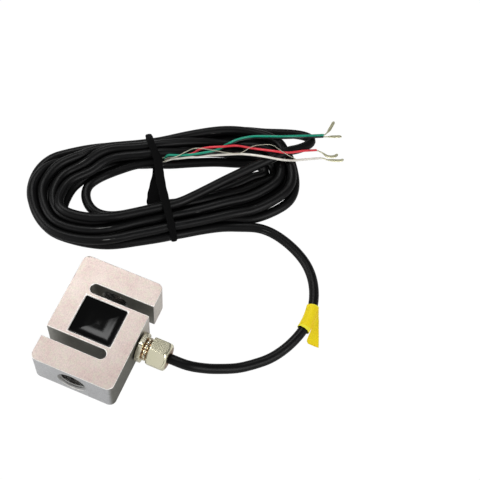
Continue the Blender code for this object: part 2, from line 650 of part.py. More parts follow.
def make_hank(materials):
    """The coiled turns as one round-edged slab with their open middle, grooved where the tie passes."""
    outside = smooth_path([Vector(point) * mm for point in hank_outside], 7.0 * mm, True)
    hole = smooth_path([Vector(point) * mm for point in hank_hole], 6.0 * mm, True)
    radius = cable_diameter / 2
    bm = bmesh.new()
    levels = ((hank_floor, hank_round), (hank_floor + hank_round, 0.0),
              (hank_height - hank_round, 0.0), (hank_height, hank_round))
    walls = []
    for points, outward, grow in ((outside, 1, radius), (hole, -1, 0.0)):
        loops = []
        for height, inset in levels:
            ring = offset_outline(points, grow - outward * inset)
            loops.append([bm.verts.new((point.x, point.y, height)) for point in ring])
        for lower, upper in zip(loops, loops[1:]):
            for index, vert in enumerate(lower):
                after = (index + 1) % len(lower)
                bm.faces.new((vert, lower[after], upper[after], upper[index]))
        walls.append(loops)
    for level in (0, -1):
        rim = []
        for loops in walls:
            loop = loops[level]
            rim += [bm.edges.get((loop[index], loop[(index + 1) % len(loop)])) for index in range(len(loop))]
        bmesh.ops.triangle_fill(bm, use_beauty=True, use_dissolve=False, edges=rim)
    hank = new_object("cable_hank", bm, materials["cable"])

    cut(hank, new_object("tie_groove", closed_loop(tie_sections(2 * gap))))
    return hank


def tie_sections(grow):
    """The tie's eight-cornered sections along its loop, enlarged on every side by a clearance."""
    places = [Vector(row[:3]) * mm for row in tie_loop]
    sizes = [Vector(row[3:]) * mm / 2 for row in tie_loop]
    run = (places[tie_far_end] - places[0]).to_2d().normalized()
    across = Vector((run.y, -run.x, 0))
    rings = []
    for index in range(len(places)):
        for share in (0.0, 0.5):
            middle = catmull(places, index, share, True)
            ahead = catmull(places, index, share + 0.02, True) - catmull(places, index, share - 0.02, True)
            rise = across.cross(ahead).normalized()
            half = catmull(sizes, index, share, True)
            edge = half.y * tie_edge
            wide, high = half.x + grow, half.y + grow
            rings.append([middle + across * side + rise * level for side, level in (
                (wide, high - edge), (wide - edge, high), (edge - wide, high), (-wide, high - edge),
                (-wide, edge - high), (edge - wide, -high), (wide - edge, -high), (wide, edge - high))])
    return rings


def closed_loop(rings):
    """Endless band through rings of equal point counts."""
    bm = bmesh.new()
    loops = [[bm.verts.new(point) for point in ring] for ring in rings]
    for first, second in zip(loops, loops[1:] + loops[:1]):
        for index in range(len(first)):
            after = (index + 1) % len(first)
            bm.faces.new((first[index], first[after], second[after], second[index]))
    return bm


def make_label(materials):
    """Flag label: a sleeve stuck round the lead and a flag that slopes to the floor beside it."""
    route = in_metres(lead_route)
    steps = 6
    places = [label_start + (label_end - label_start) * step / steps for step in range(steps + 1)]
    stretch = [catmull(route, int(place), place - int(place), False) for place in places]
    flat = [Vector((point.x, point.y)) for point in stretch]
    inner = cable_diameter / 2 + gap
    sides = 24
    bm = bmesh.new()
    walls = []
    for radius in (inner, inner + label_wall):
        loops = []
        for index, point in enumerate(stretch):
            across = side_of(flat, index, False).to_3d()
            turns = [math.tau * (step + 0.5) / sides for step in range(sides)]
            loops.append([bm.verts.new(point + across * (radius * math.cos(turn))
                                       + Vector((0, 0, radius * math.sin(turn)))) for turn in turns])
        walls.append(loops)
    inside, outside = walls
    pairs = list(zip(inside, inside[1:])) + list(zip(outside, outside[1:]))
    pairs += [(inside[0], outside[0]), (inside[-1], outside[-1])]
    for first, second in pairs:
        for index in range(sides):
            after = (index + 1) % sides
            bm.faces.new((first[index], first[after], second[after], second[index]))
    label = new_object("cable_label", bm, materials["label"])

    root = flag_outline[1][0] * mm
    height = stretch[0].z - flag_thickness
    rings = []
    for shift in (-0.5, 0.5):
        rings.append([(x * mm, y * mm, height - (x * mm - root) * flag_slope + shift * flag_thickness)
                      for x, y in flag_outline])
    cut(label, new_object("label_flag", stack(rings)), "UNION")
    return label


def make_cord_set(materials):
    inside = [Vector((along, 0, middle_height)) for along in (jacket_start, half_width, nut_start)]
    tube("cable_lead", smooth_path(inside + in_metres(lead_route), 1.2 * cable_diameter),
         cable_diameter, materials["cable"], 3)
    make_hank(materials)
    new_object("hank_tie", closed_loop(tie_sections(0.0)), materials["tie"])
    make_label(materials)
    for name, route in core_routes.items():
        tube("core_" + name, smooth_path(in_metres(route), 3.4 * mm), core_diameter, materials[name])
    for name, route in conductor_routes.items():
        before, end = in_metres(core_routes[name][-2:])
        start = end + (end - before).normalized() * gap
        tube("conductor_" + name, smooth_path([start] + in_metres(route), 2.4 * mm), conductor_diameter,
             materials["tinned"])
    tube("drain_wire", smooth_path(in_metres(drain_route), 2.0 * mm), drain_diameter, materials["tinned"])


def main():
    clear_scene()
    materials = {name: make_material(name) for name in colours}
    make_block(materials["steel"])
    make_potting("potting_top", materials["potting"], 1)
    make_potting("potting_bottom", materials["potting"], -1)
    make_bridge(materials)
    make_gland(materials)
    make_cord_set(materials)


main()
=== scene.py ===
# S-type load cell: the finished surfaces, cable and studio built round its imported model
import math

import bmesh
import bpy
import numpy as np
from mathutils import Matrix, Vector


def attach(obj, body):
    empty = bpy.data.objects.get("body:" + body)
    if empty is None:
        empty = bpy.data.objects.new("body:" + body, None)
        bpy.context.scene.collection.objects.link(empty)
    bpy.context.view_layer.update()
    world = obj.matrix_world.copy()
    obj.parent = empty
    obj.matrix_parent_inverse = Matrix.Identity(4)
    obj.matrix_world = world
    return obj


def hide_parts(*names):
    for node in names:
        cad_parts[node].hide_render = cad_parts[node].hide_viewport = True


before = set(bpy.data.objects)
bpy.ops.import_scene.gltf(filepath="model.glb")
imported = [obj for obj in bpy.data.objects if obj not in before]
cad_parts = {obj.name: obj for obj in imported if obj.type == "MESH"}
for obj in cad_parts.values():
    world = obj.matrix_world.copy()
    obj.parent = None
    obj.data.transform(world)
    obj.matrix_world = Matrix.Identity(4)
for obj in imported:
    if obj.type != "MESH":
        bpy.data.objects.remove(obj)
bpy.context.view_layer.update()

mm = 0.001
print("frame:", len(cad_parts), "nodes")


# the photograph's view, on an image of 480 by 480
view = {
    "place": (0.14137, -0.20910, 0.59020),
    "right": (0.92185, 0.38365, 0.05478),
    "down": (0.36277, -0.80455, -0.47021),
    "lens": 80.33,
    "sensor": 36.0}


def addObject(name, data):
    # a new object at the origin, linked to the scene
    made = bpy.data.objects.new(name, data)
    bpy.context.scene.collection.objects.link(made)
    return made


def makeCamera():
    # its axes are the picture's right, the picture's up, and their cross product towards the viewer
    right = Vector(view["right"]).normalized()
    up = -Vector(view["down"]).normalized()
    back = right.cross(up).normalized()
    up = back.cross(right)
    lens = bpy.data.cameras.new("viewLens")
    lens.lens, lens.sensor_width = view["lens"], view["sensor"]
    lens.clip_start, lens.clip_end = 0.01, 20
    camera = addObject("viewCamera", lens)
    turn = Matrix((right, up, back)).transposed().to_4x4()
    camera.matrix_world = Matrix.Translation(view["place"]) @ turn
    bpy.context.scene.camera = camera


makeCamera()


class Signal:
    # one output of a node; arithmetic on it adds Math nodes
    def __init__(self, nodes, socket):
        self.nodes = nodes
        self.socket = socket

    def calculate(self, operation, first, second=0.0):
        return self.nodes.node("ShaderNodeMath", {"operation": operation}, {0: first, 1: second})

    def __add__(self, other):
        return self.calculate("ADD", self, other)

    def __radd__(self, other):
        return self.calculate("ADD", other, self)

    def __sub__(self, other):
        return self.calculate("SUBTRACT", self, other)

    def __rsub__(self, other):
        return self.calculate("SUBTRACT", other, self)

    def __mul__(self, other):
        return self.calculate("MULTIPLY", self, other)

    def __rmul__(self, other):
        return self.calculate("MULTIPLY", other, self)

    def __pow__(self, other):
        return self.calculate("POWER", self, other)

    def size(self):
        return self.calculate("ABSOLUTE", self)

    def sign(self):
        return self.calculate("SIGN", self)

    def wave(self):
        # a sine that repeats at whole numbers
        return self.calculate("SINE", self * math.tau)

    def above(self, other):
        return self.calculate("MAXIMUM", self, other)

    def diagonal(self, other):
        # the distance that two distances square to each other make
        return (self * self + other * other) ** 0.5

    def step(self, low, high):
        # 0 below low, 1 above high, smooth between
        return self.nodes.node("ShaderNodeMapRange", {"interpolation_type": "SMOOTHSTEP"},
                               {"Value": self, "From Min": low, "From Max": high})


class Nodes:
    # adds nodes to one tree
    def __init__(self, tree):
        self.tree = tree

    def plug(self, socket, value):
        if isinstance(value, Signal):
            self.tree.links.new(value.socket, socket)
        elif isinstance(value, tuple) and len(value) == 3 and socket.type == "RGBA":
            socket.default_value = (*value, 1.0)
        else:
            socket.default_value = value

    def node(self, kind, settings=None, values=None, output=0):
        made = self.tree.nodes.new(kind)
        for key, value in (settings or {}).items():
            setattr(made, key, value)
        for key, value in (values or {}).items():
            self.plug(made.inputs[key], value)
        return Signal(self, made.outputs[output])


class Finish(Nodes):
    # a material whose nodes all feed one Principled shader, its patterns laid on the object's own place
    # or on the piece's map
    def __init__(self, name, spot="Object"):
        self.material = bpy.data.materials.new(name)
        self.material.use_nodes = True
        super().__init__(self.material.node_tree)
        self.shader = self.tree.nodes["Principled BSDF"]
        self.spot = self.place(spot)

    def feed(self, values):
        for key, value in values.items():
            self.plug(self.shader.inputs[key], value)
        return self

    def place(self, output):
        return self.node("ShaderNodeTexCoord", output=output)

    def part(self, axis, vector=None):
        return self.node("ShaderNodeSeparateXYZ", values={0: vector or self.spot}, output=axis)

    def noise(self, scale, detail=2.0, roughness=0.5):
        # three scales stretch the pattern along the axes
        spot = self.spot
        if isinstance(scale, tuple):
            spot = self.node("ShaderNodeVectorMath", {"operation": "MULTIPLY"}, {0: spot, 1: scale})
            scale = 1.0
        return self.node("ShaderNodeTexNoise", values={"Vector": spot, "Scale": scale, "Detail": detail,
                                                       "Roughness": roughness})

    def blend(self, factor, first, second):
        return self.node("ShaderNodeMix", {"data_type": "RGBA"}, {0: factor, 6: first, 7: second}, output=2)

    def dim(self, colour, factor):
        return self.node("ShaderNodeVectorMath", {"operation": "SCALE"}, {0: colour, "Scale": factor})

    def bump(self, height, distance, strength):
        return self.node("ShaderNodeBump", values={
            "Height": height, "Distance": distance, "Strength": strength})


def shade(colour, factor):
    # the colour made lighter or darker
    return tuple(factor * part for part in colour)


def gridFaces(rows, cols, joinRows):
    # corner numbers of the quads between neighbouring rows and columns; the columns join round
    index = np.arange(rows * cols).reshape(rows, cols)
    lower = index if joinRows else index[:-1]
    upper = np.roll(index, -1, 0) if joinRows else index[1:]
    corners = [lower, np.roll(lower, -1, 1), np.roll(upper, -1, 1), upper]
    return np.stack(corners, -1).reshape(-1, 4)


def gridMaps(rows, cols, joinRows, along, around):
    # map places of the same corners: along the rows and round the columns, both in metres
    count = rows if joinRows else rows - 1
    row = np.append(along, 2 * along[-1] - along[-2])
    first = np.repeat(row[:count, None], cols, 1)
    second = np.repeat(row[1:count + 1, None], cols, 1)
    left = np.repeat(around * np.arange(cols)[None] / cols, count, 0)
    right = left + around / cols
    corners = [(first, left), (first, right), (second, right), (second, left)]
    return np.stack([np.stack(pair, -1) for pair in corners], 2).reshape(-1, 2)


def cleanMesh(mesh):
    # merges doubled corners and turns the faces outward
    work = bmesh.new()
    work.from_mesh(mesh)
    bmesh.ops.remove_doubles(work, verts=work.verts, dist=0.0002 * mm)
    bmesh.ops.recalc_face_normals(work, faces=work.faces)
    work.to_mesh(mesh)
    work.free()


def finishPiece(name, mesh, finish, replaces=(), sharp=35):
    # shades the mesh smooth between sharp edges and hands the piece to the frame
    cleanMesh(mesh)
    mesh.materials.clear()
    mesh.materials.append(finish.material)
    mesh.shade_smooth()
    mesh.set_sharp_from_angle(angle=math.radians(sharp))
    piece = addObject(name, mesh)
    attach(piece, "root")
    if replaces:
        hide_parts(*replaces)
    return piece


def stepLengths(path):
    # distances between neighbouring points
    return np.linalg.norm(np.diff(path, axis=0), axis=1)


def unit(vectors):
    return vectors / np.linalg.norm(vectors, axis=1)[:, None]


def fullTurn(steps):
    # even angles round a circle, in radians
    return math.tau * np.arange(steps) / steps


def eased(share):
    # 0 to 1 with level ends: 3 s^2 - 2 s^3
    share = np.clip(share, 0, 1)
    return share * share * (3 - 2 * share)


def gridMesh(name, grids, joinRows=False):
    # closed shells from grids of points: quads, with a fan to a middle point at each open end
    verts, faces, maps, start = [], [], [], 0
    for grid in grids:
        rows, cols = grid.shape[:2]
        middle = grid.mean(1)
        along = np.append(0, np.cumsum(stepLengths(middle) + 1e-9))
        around = np.linalg.norm(np.roll(grid[rows // 2], -1, 0) - grid[rows // 2], axis=1).sum()
        verts.append(grid.reshape(-1, 3))
        faces += (gridFaces(rows, cols, joinRows) + start).tolist()
        maps.append(gridMaps(rows, cols, joinRows, along, around))
        first, start = start, start + rows * cols
        for row in () if joinRows else (0, rows - 1):
            verts.append(middle[row][None])
            ring = np.arange(cols) + first + row * cols
            faces += np.stack([ring, np.roll(ring, -1), np.full(cols, start)], -1).tolist()
            maps.append(np.full((cols * 3, 2), along[row]))
            start += 1
    mesh = bpy.data.meshes.new(name)
    mesh.from_pydata(np.concatenate(verts).tolist(), [], faces)
    layer = mesh.uv_layers.new(name="surface")
    layer.data.foreach_set("uv", np.concatenate(maps).astype(np.float32).ravel())
    return mesh


def splineAt(guide, where, closed=False):
    # the cubic whose slopes follow the neighbouring points, at places counted in points along the guide
    base = np.floor(where).astype(int)
    index = base + np.arange(-1, 3)[:, None]
    index = index % len(guide) if closed else index.clip(0, len(guide) - 1)
    before, start, end, after = guide[index]
    share = (where - base)[:, None]
    return 0.5 * (2 * start + (end - before) * share
                  + (2 * before - 5 * start + 4 * end - after) * share ** 2
                  + (3 * start - before - 3 * end + after) * share ** 3)


def curveThrough(points, spacing):
    # Catmull-Rom curve through the points, cut to even steps of its own length
    guide = np.asarray(points, float)
    last = len(guide) - 1
    dense = splineAt(guide, np.append(np.arange(0, last, 1 / 24), last - 1e-9))
    length = np.append(0, np.cumsum(stepLengths(dense)))
    steps = max(2, int(round(length[-1] / spacing)))
    even = np.linspace(0, length[-1], steps + 1)
    return np.stack([np.interp(even, length, dense[:, k]) for k in range(3)], 1)


def tubeGrid(path, radius, sides, wave=None):
    # circles square to the path; radius is one number or one for each point, scaled by wave round the circle
    along = unit(np.gradient(path, axis=0))
    side = unit(np.cross(along, (0.0, 0.0, 1.0)))
    rise = np.cross(side, along)
    angle = fullTurn(sides)
    reach = np.broadcast_to(np.asarray(radius, float), (len(path),))[:, None, None]
    if wave is not None:
        reach = reach * wave[..., None]
    ring = np.cos(angle)[None, :, None] * side[:, None] + np.sin(angle)[None, :, None] * rise[:, None]
    return path[:, None] + reach * ring


# the strap round the middle of the hank: a closed loop over both runs and back under them
strap = {
    # places along the loop, with its width and thickness there
    "loop": [
        (-33.4, 138.3, 4.2, 3.2, 2), (-32.4, 137.2, 7.6, 4, 2), (-29.9, 133.6, 11.8, 4.4, 1.9),
        (-26.6, 128.4, 16.2, 4.6, 1.7), (-20.9, 122.1, 17.7, 4.8, 1.6), (-16.5, 117, 17.6, 5, 1.6),
        (-12.9, 111.1, 17.3, 5.4, 1.6), (-7.6, 102.7, 17.1, 5.6, 1.6), (-2.1, 95, 17.4, 5.4, 1.6),
        (1.8, 89.8, 17.7, 5, 1.6), (8, 82.1, 13.9, 4.6, 1.8), (12.2, 77.2, 8.8, 4.2, 2),
        (13.5, 76, 4.2, 3.4, 2), (12.2, 77.2, 1.4, 3.6, 1.4), (9.4, 80, 0.6, 4.6, 0.8),
        (2, 87.4, 0.5, 6.4, 0.8), (-8.7, 95.2, 0.5, 8.6, 0.8), (-12.7, 102.6, 0.5, 8.8, 0.8),
        (-15.5, 111, 0.5, 7, 0.8), (-19, 119.7, 0.5, 4.8, 0.8), (-25.6, 128.8, 0.5, 4.2, 0.8),
        (-30.4, 134.6, 0.6, 3.8, 0.8), (-32.4, 137, 1.4, 3.4, 1.4)],
    "farEnd": 12, "underThick": 0.9, "colour": (0.002, 0.002, 0.0021)}


# the cable: out of the gland, round to the hank, seven turns with one loop thrown wide, and a loose end
cable = {
    "diameter": 6, "sides": 24, "length": 2.85, "finish": ((0.0032, 0.0032, 0.0034), 0.42), "shine": 0.18,
    "glint": (0.3, 0.3, 0.29), "windStep": 3, "meshStep": 1.8,
    # pushing the strands apart: points from the gland that stay put, rounds, points along the
    # line that are too near to count, gap left, and how strongly the line stays smooth and in place
    "held": 50, "rounds": 160, "neighbours": 11, "gap": 0.05, "stiff": 0.05, "pull": 0.03,
    "inside": [(19.5, 0, 12.7), (25.4, 0, 12.7), (33, 0, 12.7)],
    "lead": [
        (45, 0, 12.7), (55.7, 0.4, 12.5), (64.8, 3.6, 9.8), (72.8, 8.2, 6.2), (82, 14, 3.6),
        (90.2, 20.6, 3.1), (97, 27.4, 3.1), (102.2, 35.4, 3.1), (106.2, 44.4, 3.5), (108.6, 53.6, 3.9),
        (109, 62.4, 3.9), (107.8, 71, 3.9), (104.8, 79.8, 3.5), (100.2, 87.8, 3.1), (94, 94.4, 3.1),
        (86.4, 99.4, 3.1), (77.8, 103.2, 3.1), (69.8, 105.4, 3.1), (62.5, 106, 3.1), (55.7, 105, 3.1),
        (40.3, 98.8, 3.1)],
    # outermost and innermost centrelines of a turn, at twenty places clockwise from the lower right
    "outerTurn": [
        (54.2, 110), (39.7, 100.3), (24.6, 90.1), (9.3, 78.8), (-6.2, 68), (-24.4, 56.3), (-45, 50.8),
        (-63, 52.5), (-82.3, 70), (-84.1, 92.4), (-74.8, 105.6), (-55.2, 119.4), (-28.1, 134.6),
        (-8.9, 150.5), (10.4, 163.4), (29, 169.7), (48.9, 168.5), (59.9, 156.9), (67.9, 143.2),
        (67.9, 128.9)],
    "innerTurn": [
        (36.3, 132.6), (25.8, 121), (14.6, 109), (0.5, 98.1), (-14.9, 86.7), (-31.2, 74.5), (-43.5, 69.6),
        (-57, 68.5), (-60.8, 76.4), (-60, 85.5), (-53.5, 95.5), (-44.7, 108.8), (-21.4, 120.2),
        (-0.6, 131.8), (16.9, 140.5), (27.9, 144.2), (37.2, 149.4), (45.8, 147.9), (47.2, 142.8),
        (40.5, 139.8)],
    # places at which each turn's share of the way in and its height are given
    "keyPlaces": (3, 5.3, 6.6, 8, 10, 12, 14.5, 17, 19.2),
    "turns": [
        [(-0.06, 3), None, (0, 3), (0, 3), (0, 3), (0.06, 3), (0, 3), None, None],
        [(0.68, 13.4), None, (0.62, 13.4), (0.9, 10), (0.97, 8.3), (0.87, 13.3), (0.85, 8.3), (0.76, 4),
         (0.76, 4)],
        [(0.83, 8.3), None, (0.6, 8.3), (0.66, 8.3), (0.66, 8.3), (0.45, 13.3), (0.58, 8.3), (0.53, 8.3),
         (0.5, 8.3)],
        [(0.5, 8.3), None, (0.25, 8.3), (0.3, 8.3), (0.35, 8.3), (0.14, 8.3), (0.11, 8.3), (0.1, 8.3),
         (0.18, 8.3)],
        [(0.11, 8.3), None, (-0.1, 8.3), (0.05, 8.3), (0.31, 4), (0.56, 3), (0.27, 3), (0, 3), (0.02, 3)],
        [(0.33, 3), None, (0.42, 3), (0.45, 3), (0.52, 4), (0.75, 8.3), (0.67, 3), (0.33, 3), (0.38, 3)],
        [(0.61, 3), None, (0.8, 3), (1.02, 3), (0.96, 3), (1, 3), (1, 3), (0.94, 3), (1, 3)],
        [(1, 3)]],
    # the loop thrown wide at the upper right, which comes back as the straight strand across the hole
    "wideLoop": [
        (19.4, 167.8, 3), (33, 172.8, 3), (47.1, 178.6, 3.1), (57.9, 181.7, 3.4), (65, 181, 4.5),
        (65.2, 175.5, 6.5), (60.1, 166.8, 9.5), (53.8, 157.4, 12.8), (46.4, 147.9, 14), (38.2, 137.7, 13.6),
        (29.3, 126.1, 13.4), (21.6, 115.3, 13.4), (14.4, 105.3, 13.3), (6.9, 96, 13.3)],
    "looseEnd": [
        (-19.7, 82.1, 3.1), (-28.9, 75.5, 3.1), (-38.5, 73.9, 3.1), (-46.1, 77.2, 3.1), (-51.3, 84, 3.1),
        (-52.3, 92.5, 3.1), (-48.6, 101.5, 3.1), (-39.7, 109.6, 4.2), (-28.4, 115.7, 7),
        (-20.8, 120.4, 8.7), (-15.9, 124.3, 9)]}


def turnPlaces(first, last, keys):
    # points of the turns between two places: outer line + share * (inner line - outer line), where share
    # and height are eased between the keys
    place = np.arange(first, last + 0.01, 1.0)
    where, *values = np.array(keys, float).T
    span = np.clip(np.searchsorted(where, place, side="right") - 1, 0, len(keys) - 2)
    ease = eased((place - where[span]) / (where[span + 1] - where[span]))
    share, height = (value[span] + (value[span + 1] - value[span]) * ease for value in values)
    outer, inner = (np.array(cable[line], float) for line in ("outerTurn", "innerTurn"))
    index = np.round(place).astype(int) % len(outer)
    points = outer[index] + (inner[index] - outer[index]) * share[:, None]
    return np.column_stack([points, height]).tolist()


def windCable():
    # the whole route in millimetres, before its strands push each other apart
    count = len(cable["outerTurn"])
    keys = [[(number * count + place, *pair) for place, pair in zip(cable["keyPlaces"], row) if pair]
            for number, row in enumerate(cable["turns"])]
    # the first turn ends where the wide loop leaves it, and the others go on where that comes back
    first = turnPlaces(2.0, 13.0, [(0.0, 0.0, 3.0)] + keys[0])
    rest = turnPlaces(count + 4.0, 7 * count + 3.0, sum(keys[1:], []))
    route = cable["inside"] + cable["lead"] + first + cable["wideLoop"] + rest + cable["looseEnd"]
    return curveThrough(route, cable["windStep"])


def overStrap(path):
    # how far the strap under the hank lifts a strand: a smooth ridge along the strap's line
    start, end = (np.array(strap["loop"][k][:2]) for k in (0, strap["farEnd"]))
    line = (end - start) / np.linalg.norm(end - start)
    offset = path[:, :2] - start
    aside = offset[:, 0] * line[1] - offset[:, 1] * line[0]
    along = offset @ line
    near = (along > -3) & (along < np.linalg.norm(end - start) + 3)
    return strap["underThick"] * np.exp(-(aside / 7.0) ** 2) * near


def settleStrands(path):
    # strands nearer than a diameter push apart while the line stays smooth, near its place and above
    # the floor
    target, path, count = path, path.copy(), len(path)
    diameter, reachIn = cable["diameter"], cable["diameter"] * 1.5
    for step in range(cable["rounds"]):
        if step % 10 == 0:
            square = (path ** 2).sum(1)
            distance = np.sqrt(np.maximum(square[:, None] + square[None] - 2 * path @ path.T, 0))
            first, second = np.nonzero(np.triu(distance < reachIn, cable["neighbours"]))
        apart = path[first] - path[second]
        reach = np.linalg.norm(apart, axis=1) + 1e-9
        push = np.maximum(diameter + cable["gap"] - reach, 0) / reach * 0.5
        hits = np.bincount(first, push > 0, count) + np.bincount(second, push > 0, count)
        move = np.stack([np.bincount(first, apart[:, k] * push, count)
                         - np.bincount(second, apart[:, k] * push, count) for k in range(3)], 1)
        path += move / np.sqrt(np.maximum(hits, 1))[:, None]
        bend = np.zeros_like(path)
        bend[1:-1] = path[2:] - 2 * path[1:-1] + path[:-2]
        path[2:-2] -= cable["stiff"] * (bend[3:-1] - 2 * bend[2:-2] + bend[1:-3])
        path += cable["pull"] * (target - path)
        path[:, 2] = np.maximum(path[:, 2], diameter / 2 + 0.02 + overStrap(path))
        path[:cable["held"]] = target[:cable["held"]]
    return path


def cableFinish():
    # soft black jacket with fine lengthwise scuffs, lighter in colour, that also stand in for sheen streaks,
    # and painted glints: thin bright lines here and there
    finish = Finish("cableJacket", "UV")
    colour, roughness = cable["finish"]
    streak = finish.noise((22.0, 1300.0, 1.0), 3.0, 0.6)
    skin = finish.noise(2600.0)
    cloud = finish.noise(60.0, 3.0)
    scuffAndSheen = streak.step(0.56, 0.72) * cloud.step(0.4, 0.65)
    # painted highlight: thin bright glint lines along the jacket
    glint = finish.noise((34.0, 1500.0, 1.0), 0.0).step(0.80, 0.84) * cloud.step(0.5, 0.6)
    scuffedSheenTone = finish.blend(scuffAndSheen, colour, shade(colour, 9.0))
    return finish.feed({
        "Base Color": finish.blend(glint, scuffedSheenTone, cable["glint"]), "Specular IOR Level": cable["shine"],
        "Roughness": roughness + 0.16 * (cloud - 0.5) + 0.30 * (0.5 - streak),
        "Normal": finish.bump(streak * 0.8 + skin * 0.4, 0.06 * mm, 0.5)})


def makeCable():
    path = curveThrough(settleStrands(windCable()), cable["meshStep"]) * mm
    radius = np.full(len(path), cable["diameter"] / 2 * mm)
    radius[[0, -1]] *= 0.94
    mesh = gridMesh("cable", [tubeGrid(path, radius, cable["sides"])])
    piece = finishPiece("cable", mesh, cableFinish(), ["cable_lead", "cable_hank"])
    print("cable:", len(path), "points,", round(float(stepLengths(path).sum()), 3), "m")


makeCable()


# the bare cores at the cable's loose end, and what shows of their conductors
cores = {
    "diameter": 1.5, "drainDiameter": 0.5,
    "routes": {
        "green": [
            (-14.9, 123.5, 11.2), (-12.9, 124.5, 14.7), (-6.5, 126, 16.7), (0.5, 129.7, 16.8),
            (8, 133.6, 18.4), (14.4, 139.6, 17.4), (17.6, 147.8, 14), (22.6, 154.6, 13.8),
            (30, 160.7, 13.5), (39.1, 164.3, 14.6), (48.5, 167.3, 16.3), (60, 174.9, 13.8),
            (70.9, 186, 6.4)],
        "black": [
            (-14.8, 122.8, 9.9), (-13.2, 124.3, 12.9), (-6.6, 126.2, 14.9), (0.6, 129.7, 15.2),
            (8.1, 133.5, 16.8), (14.5, 139.6, 15.6), (17.7, 147.6, 12.3), (22.8, 154.4, 12.3),
            (30.1, 160.8, 11.4), (39.2, 164.2, 12.8), (48.3, 168.4, 12.7), (60.2, 174.9, 12),
            (71, 185.5, 5)],
        "red": [
            (-14.9, 122.9, 9.2), (-7.5, 126.6, 13), (-1.8, 131, 13.4), (1.3, 133.4, 14), (4.1, 136.5, 15.8),
            (8.9, 139.6, 16.6), (16, 142.9, 17.4), (23.8, 150, 13.6), (33.4, 152.3, 13.6),
            (46.9, 153.2, 18), (56.1, 156.5, 17.2), (63.9, 165.3, 11.8), (70.7, 173.6, 5.4)],
        "white": [
            (-14.8, 122.2, 9.4), (-9.6, 124.5, 12.5), (-3.9, 126.4, 14.6), (6.5, 132.3, 15.4),
            (16.6, 138, 15), (27.2, 143.5, 15.2), (36, 145.3, 17.4), (45, 147, 18.5), (53.4, 150.6, 15.7),
            (60.5, 155.8, 11.8), (67.9, 163.8, 6.6), (75.6, 170.5, 3.4)]},
    "bare": {
        "green": [(71.8, 187.6, 5.4), (72.7, 193.2, 3), (73.1, 202.7, 1)],
        "black": [(73.4, 187.2, 4.2), (76.6, 189.9, 2.6), (81.7, 193.8, 0.8)],
        "red": [(74.6, 174.4, 3.9), (78.8, 174.4, 2.2), (82.8, 177, 1), (84.1, 179.7, 0.8)],
        "white": [(77.4, 171.4, 2.8), (80.2, 172, 2), (87.1, 175.5, 0.8), (89, 177.5, 0.8)]},
    # a bare end: half the twist, how much wider the blade is, and how much thicker
    "blade": (0.4, 0.64, 0.04),
    "drain": [
        (-14.9, 122.6, 10.6), (-12.4, 123.3, 13.6), (-7, 123.9, 17.6), (-2.6, 129.6, 18.2),
        (2, 134.4, 18.6), (10.9, 136.6, 19.4), (20.3, 140.6, 16.6), (28.3, 143.8, 16.5),
        (33.4, 152.1, 15.6), (38.7, 156.5, 15.2), (44.7, 159.1, 15), (51.6, 155, 19.1), (57.5, 154.9, 17.1),
        (62.1, 156.5, 13.6)],
    # loose braid and foil shreds at the jacket's cut end
    "shreds": [
        [(-15, 124.7, 12.2), (-14.8, 126.7, 13.5), (-15.3, 128.9, 14.5)],
        [(-15, 124.1, 12.4), (-15, 126, 13.2), (-15.6, 127.9, 13.6)],
        [(-16.4, 124.2, 12), (-15.1, 125.2, 12.8), (-13.6, 126.1, 13.2)],
        [(-16.1, 123, 12), (-14.5, 123.5, 12.8), (-12.6, 124.4, 13)],
        [(-15.8, 121.3, 11.2), (-14.1, 120.7, 11.6), (-12.7, 121.9, 12.4)],
        [(-14.9, 120.5, 10.6), (-13.9, 121.5, 11.6), (-11.8, 123, 12.4)]],
    "shredWidth": (0.14, 0.14, 0.34, 0.34, 0.24, 0.24),
    "colours": {
        "green": (0.004, 0.36, 0.225),
        "black": (0.012, 0.012, 0.012),
        "red": (0.96, 0.06, 0.085),
        "white": (1, 0.97, 0.88)},
    "tinned": (0.8, 0.77, 0.62), "dipped": (0.72, 0.7, 0.47)}


def coreFinish(name, colour):
    finish = Finish(name, "UV")
    streak = finish.noise((60.0, 1500.0, 1.0))
    cloud = finish.noise(220.0)
    return finish.feed({
        "Base Color": finish.blend(cloud.step(0.35, 0.75), colour, shade(colour, 0.85)),
        "Roughness": 0.34 + 0.2 * (streak - 0.5), "Normal": finish.bump(streak, 0.05 * mm, 0.4)})


def strandFinish(name, colour, pitch, relief=0.8):
    # twisted strands: a wave along the map's diagonal, which winds round the wire, with painted shade in the
    # grooves between strands
    finish = Finish(name, "UV")
    wave = (finish.part(0) * (1 / pitch) + finish.part(1) * 2500.0).wave()
    cloud = finish.noise(700.0)
    # painted shade: the colour darkens along the twist's grooves
    twistShade = finish.blend((wave * 0.5 + 0.5) * 0.6 * relief, colour, shade(colour, 0.5))
    return finish.feed({"Base Color": twistShade, "Metallic": 0.6, "Roughness": 0.3 + 0.2 * cloud,
                        "Normal": finish.bump(wave, 0.08 * mm, relief)})


def bareEnd(name, core):
    # bare strands leave as a thin twist, spread into a flat tinned blade and close to a blunt tip
    path = curveThrough((core[-2:] / mm).tolist() + cores["bare"][name], 0.35) * mm
    run = np.linspace(0, 1, len(path))
    grown = eased((run - 0.25) / 0.3)
    tip = np.sqrt(np.clip(1 - ((run - 0.90) / 0.11).clip(0, 1) ** 2, 0.12, 1))
    twist, wider, thicker = cores["blade"]
    wide, thin = ((twist + more * grown) * tip for more in (wider, thicker))
    angle = fullTurn(16)
    section = 1 / np.sqrt((np.cos(angle)[None] / wide[:, None]) ** 2
                          + (np.sin(angle)[None] / thin[:, None]) ** 2)
    return gridMesh("bare_" + name, [tubeGrid(path, mm, 16, section)])


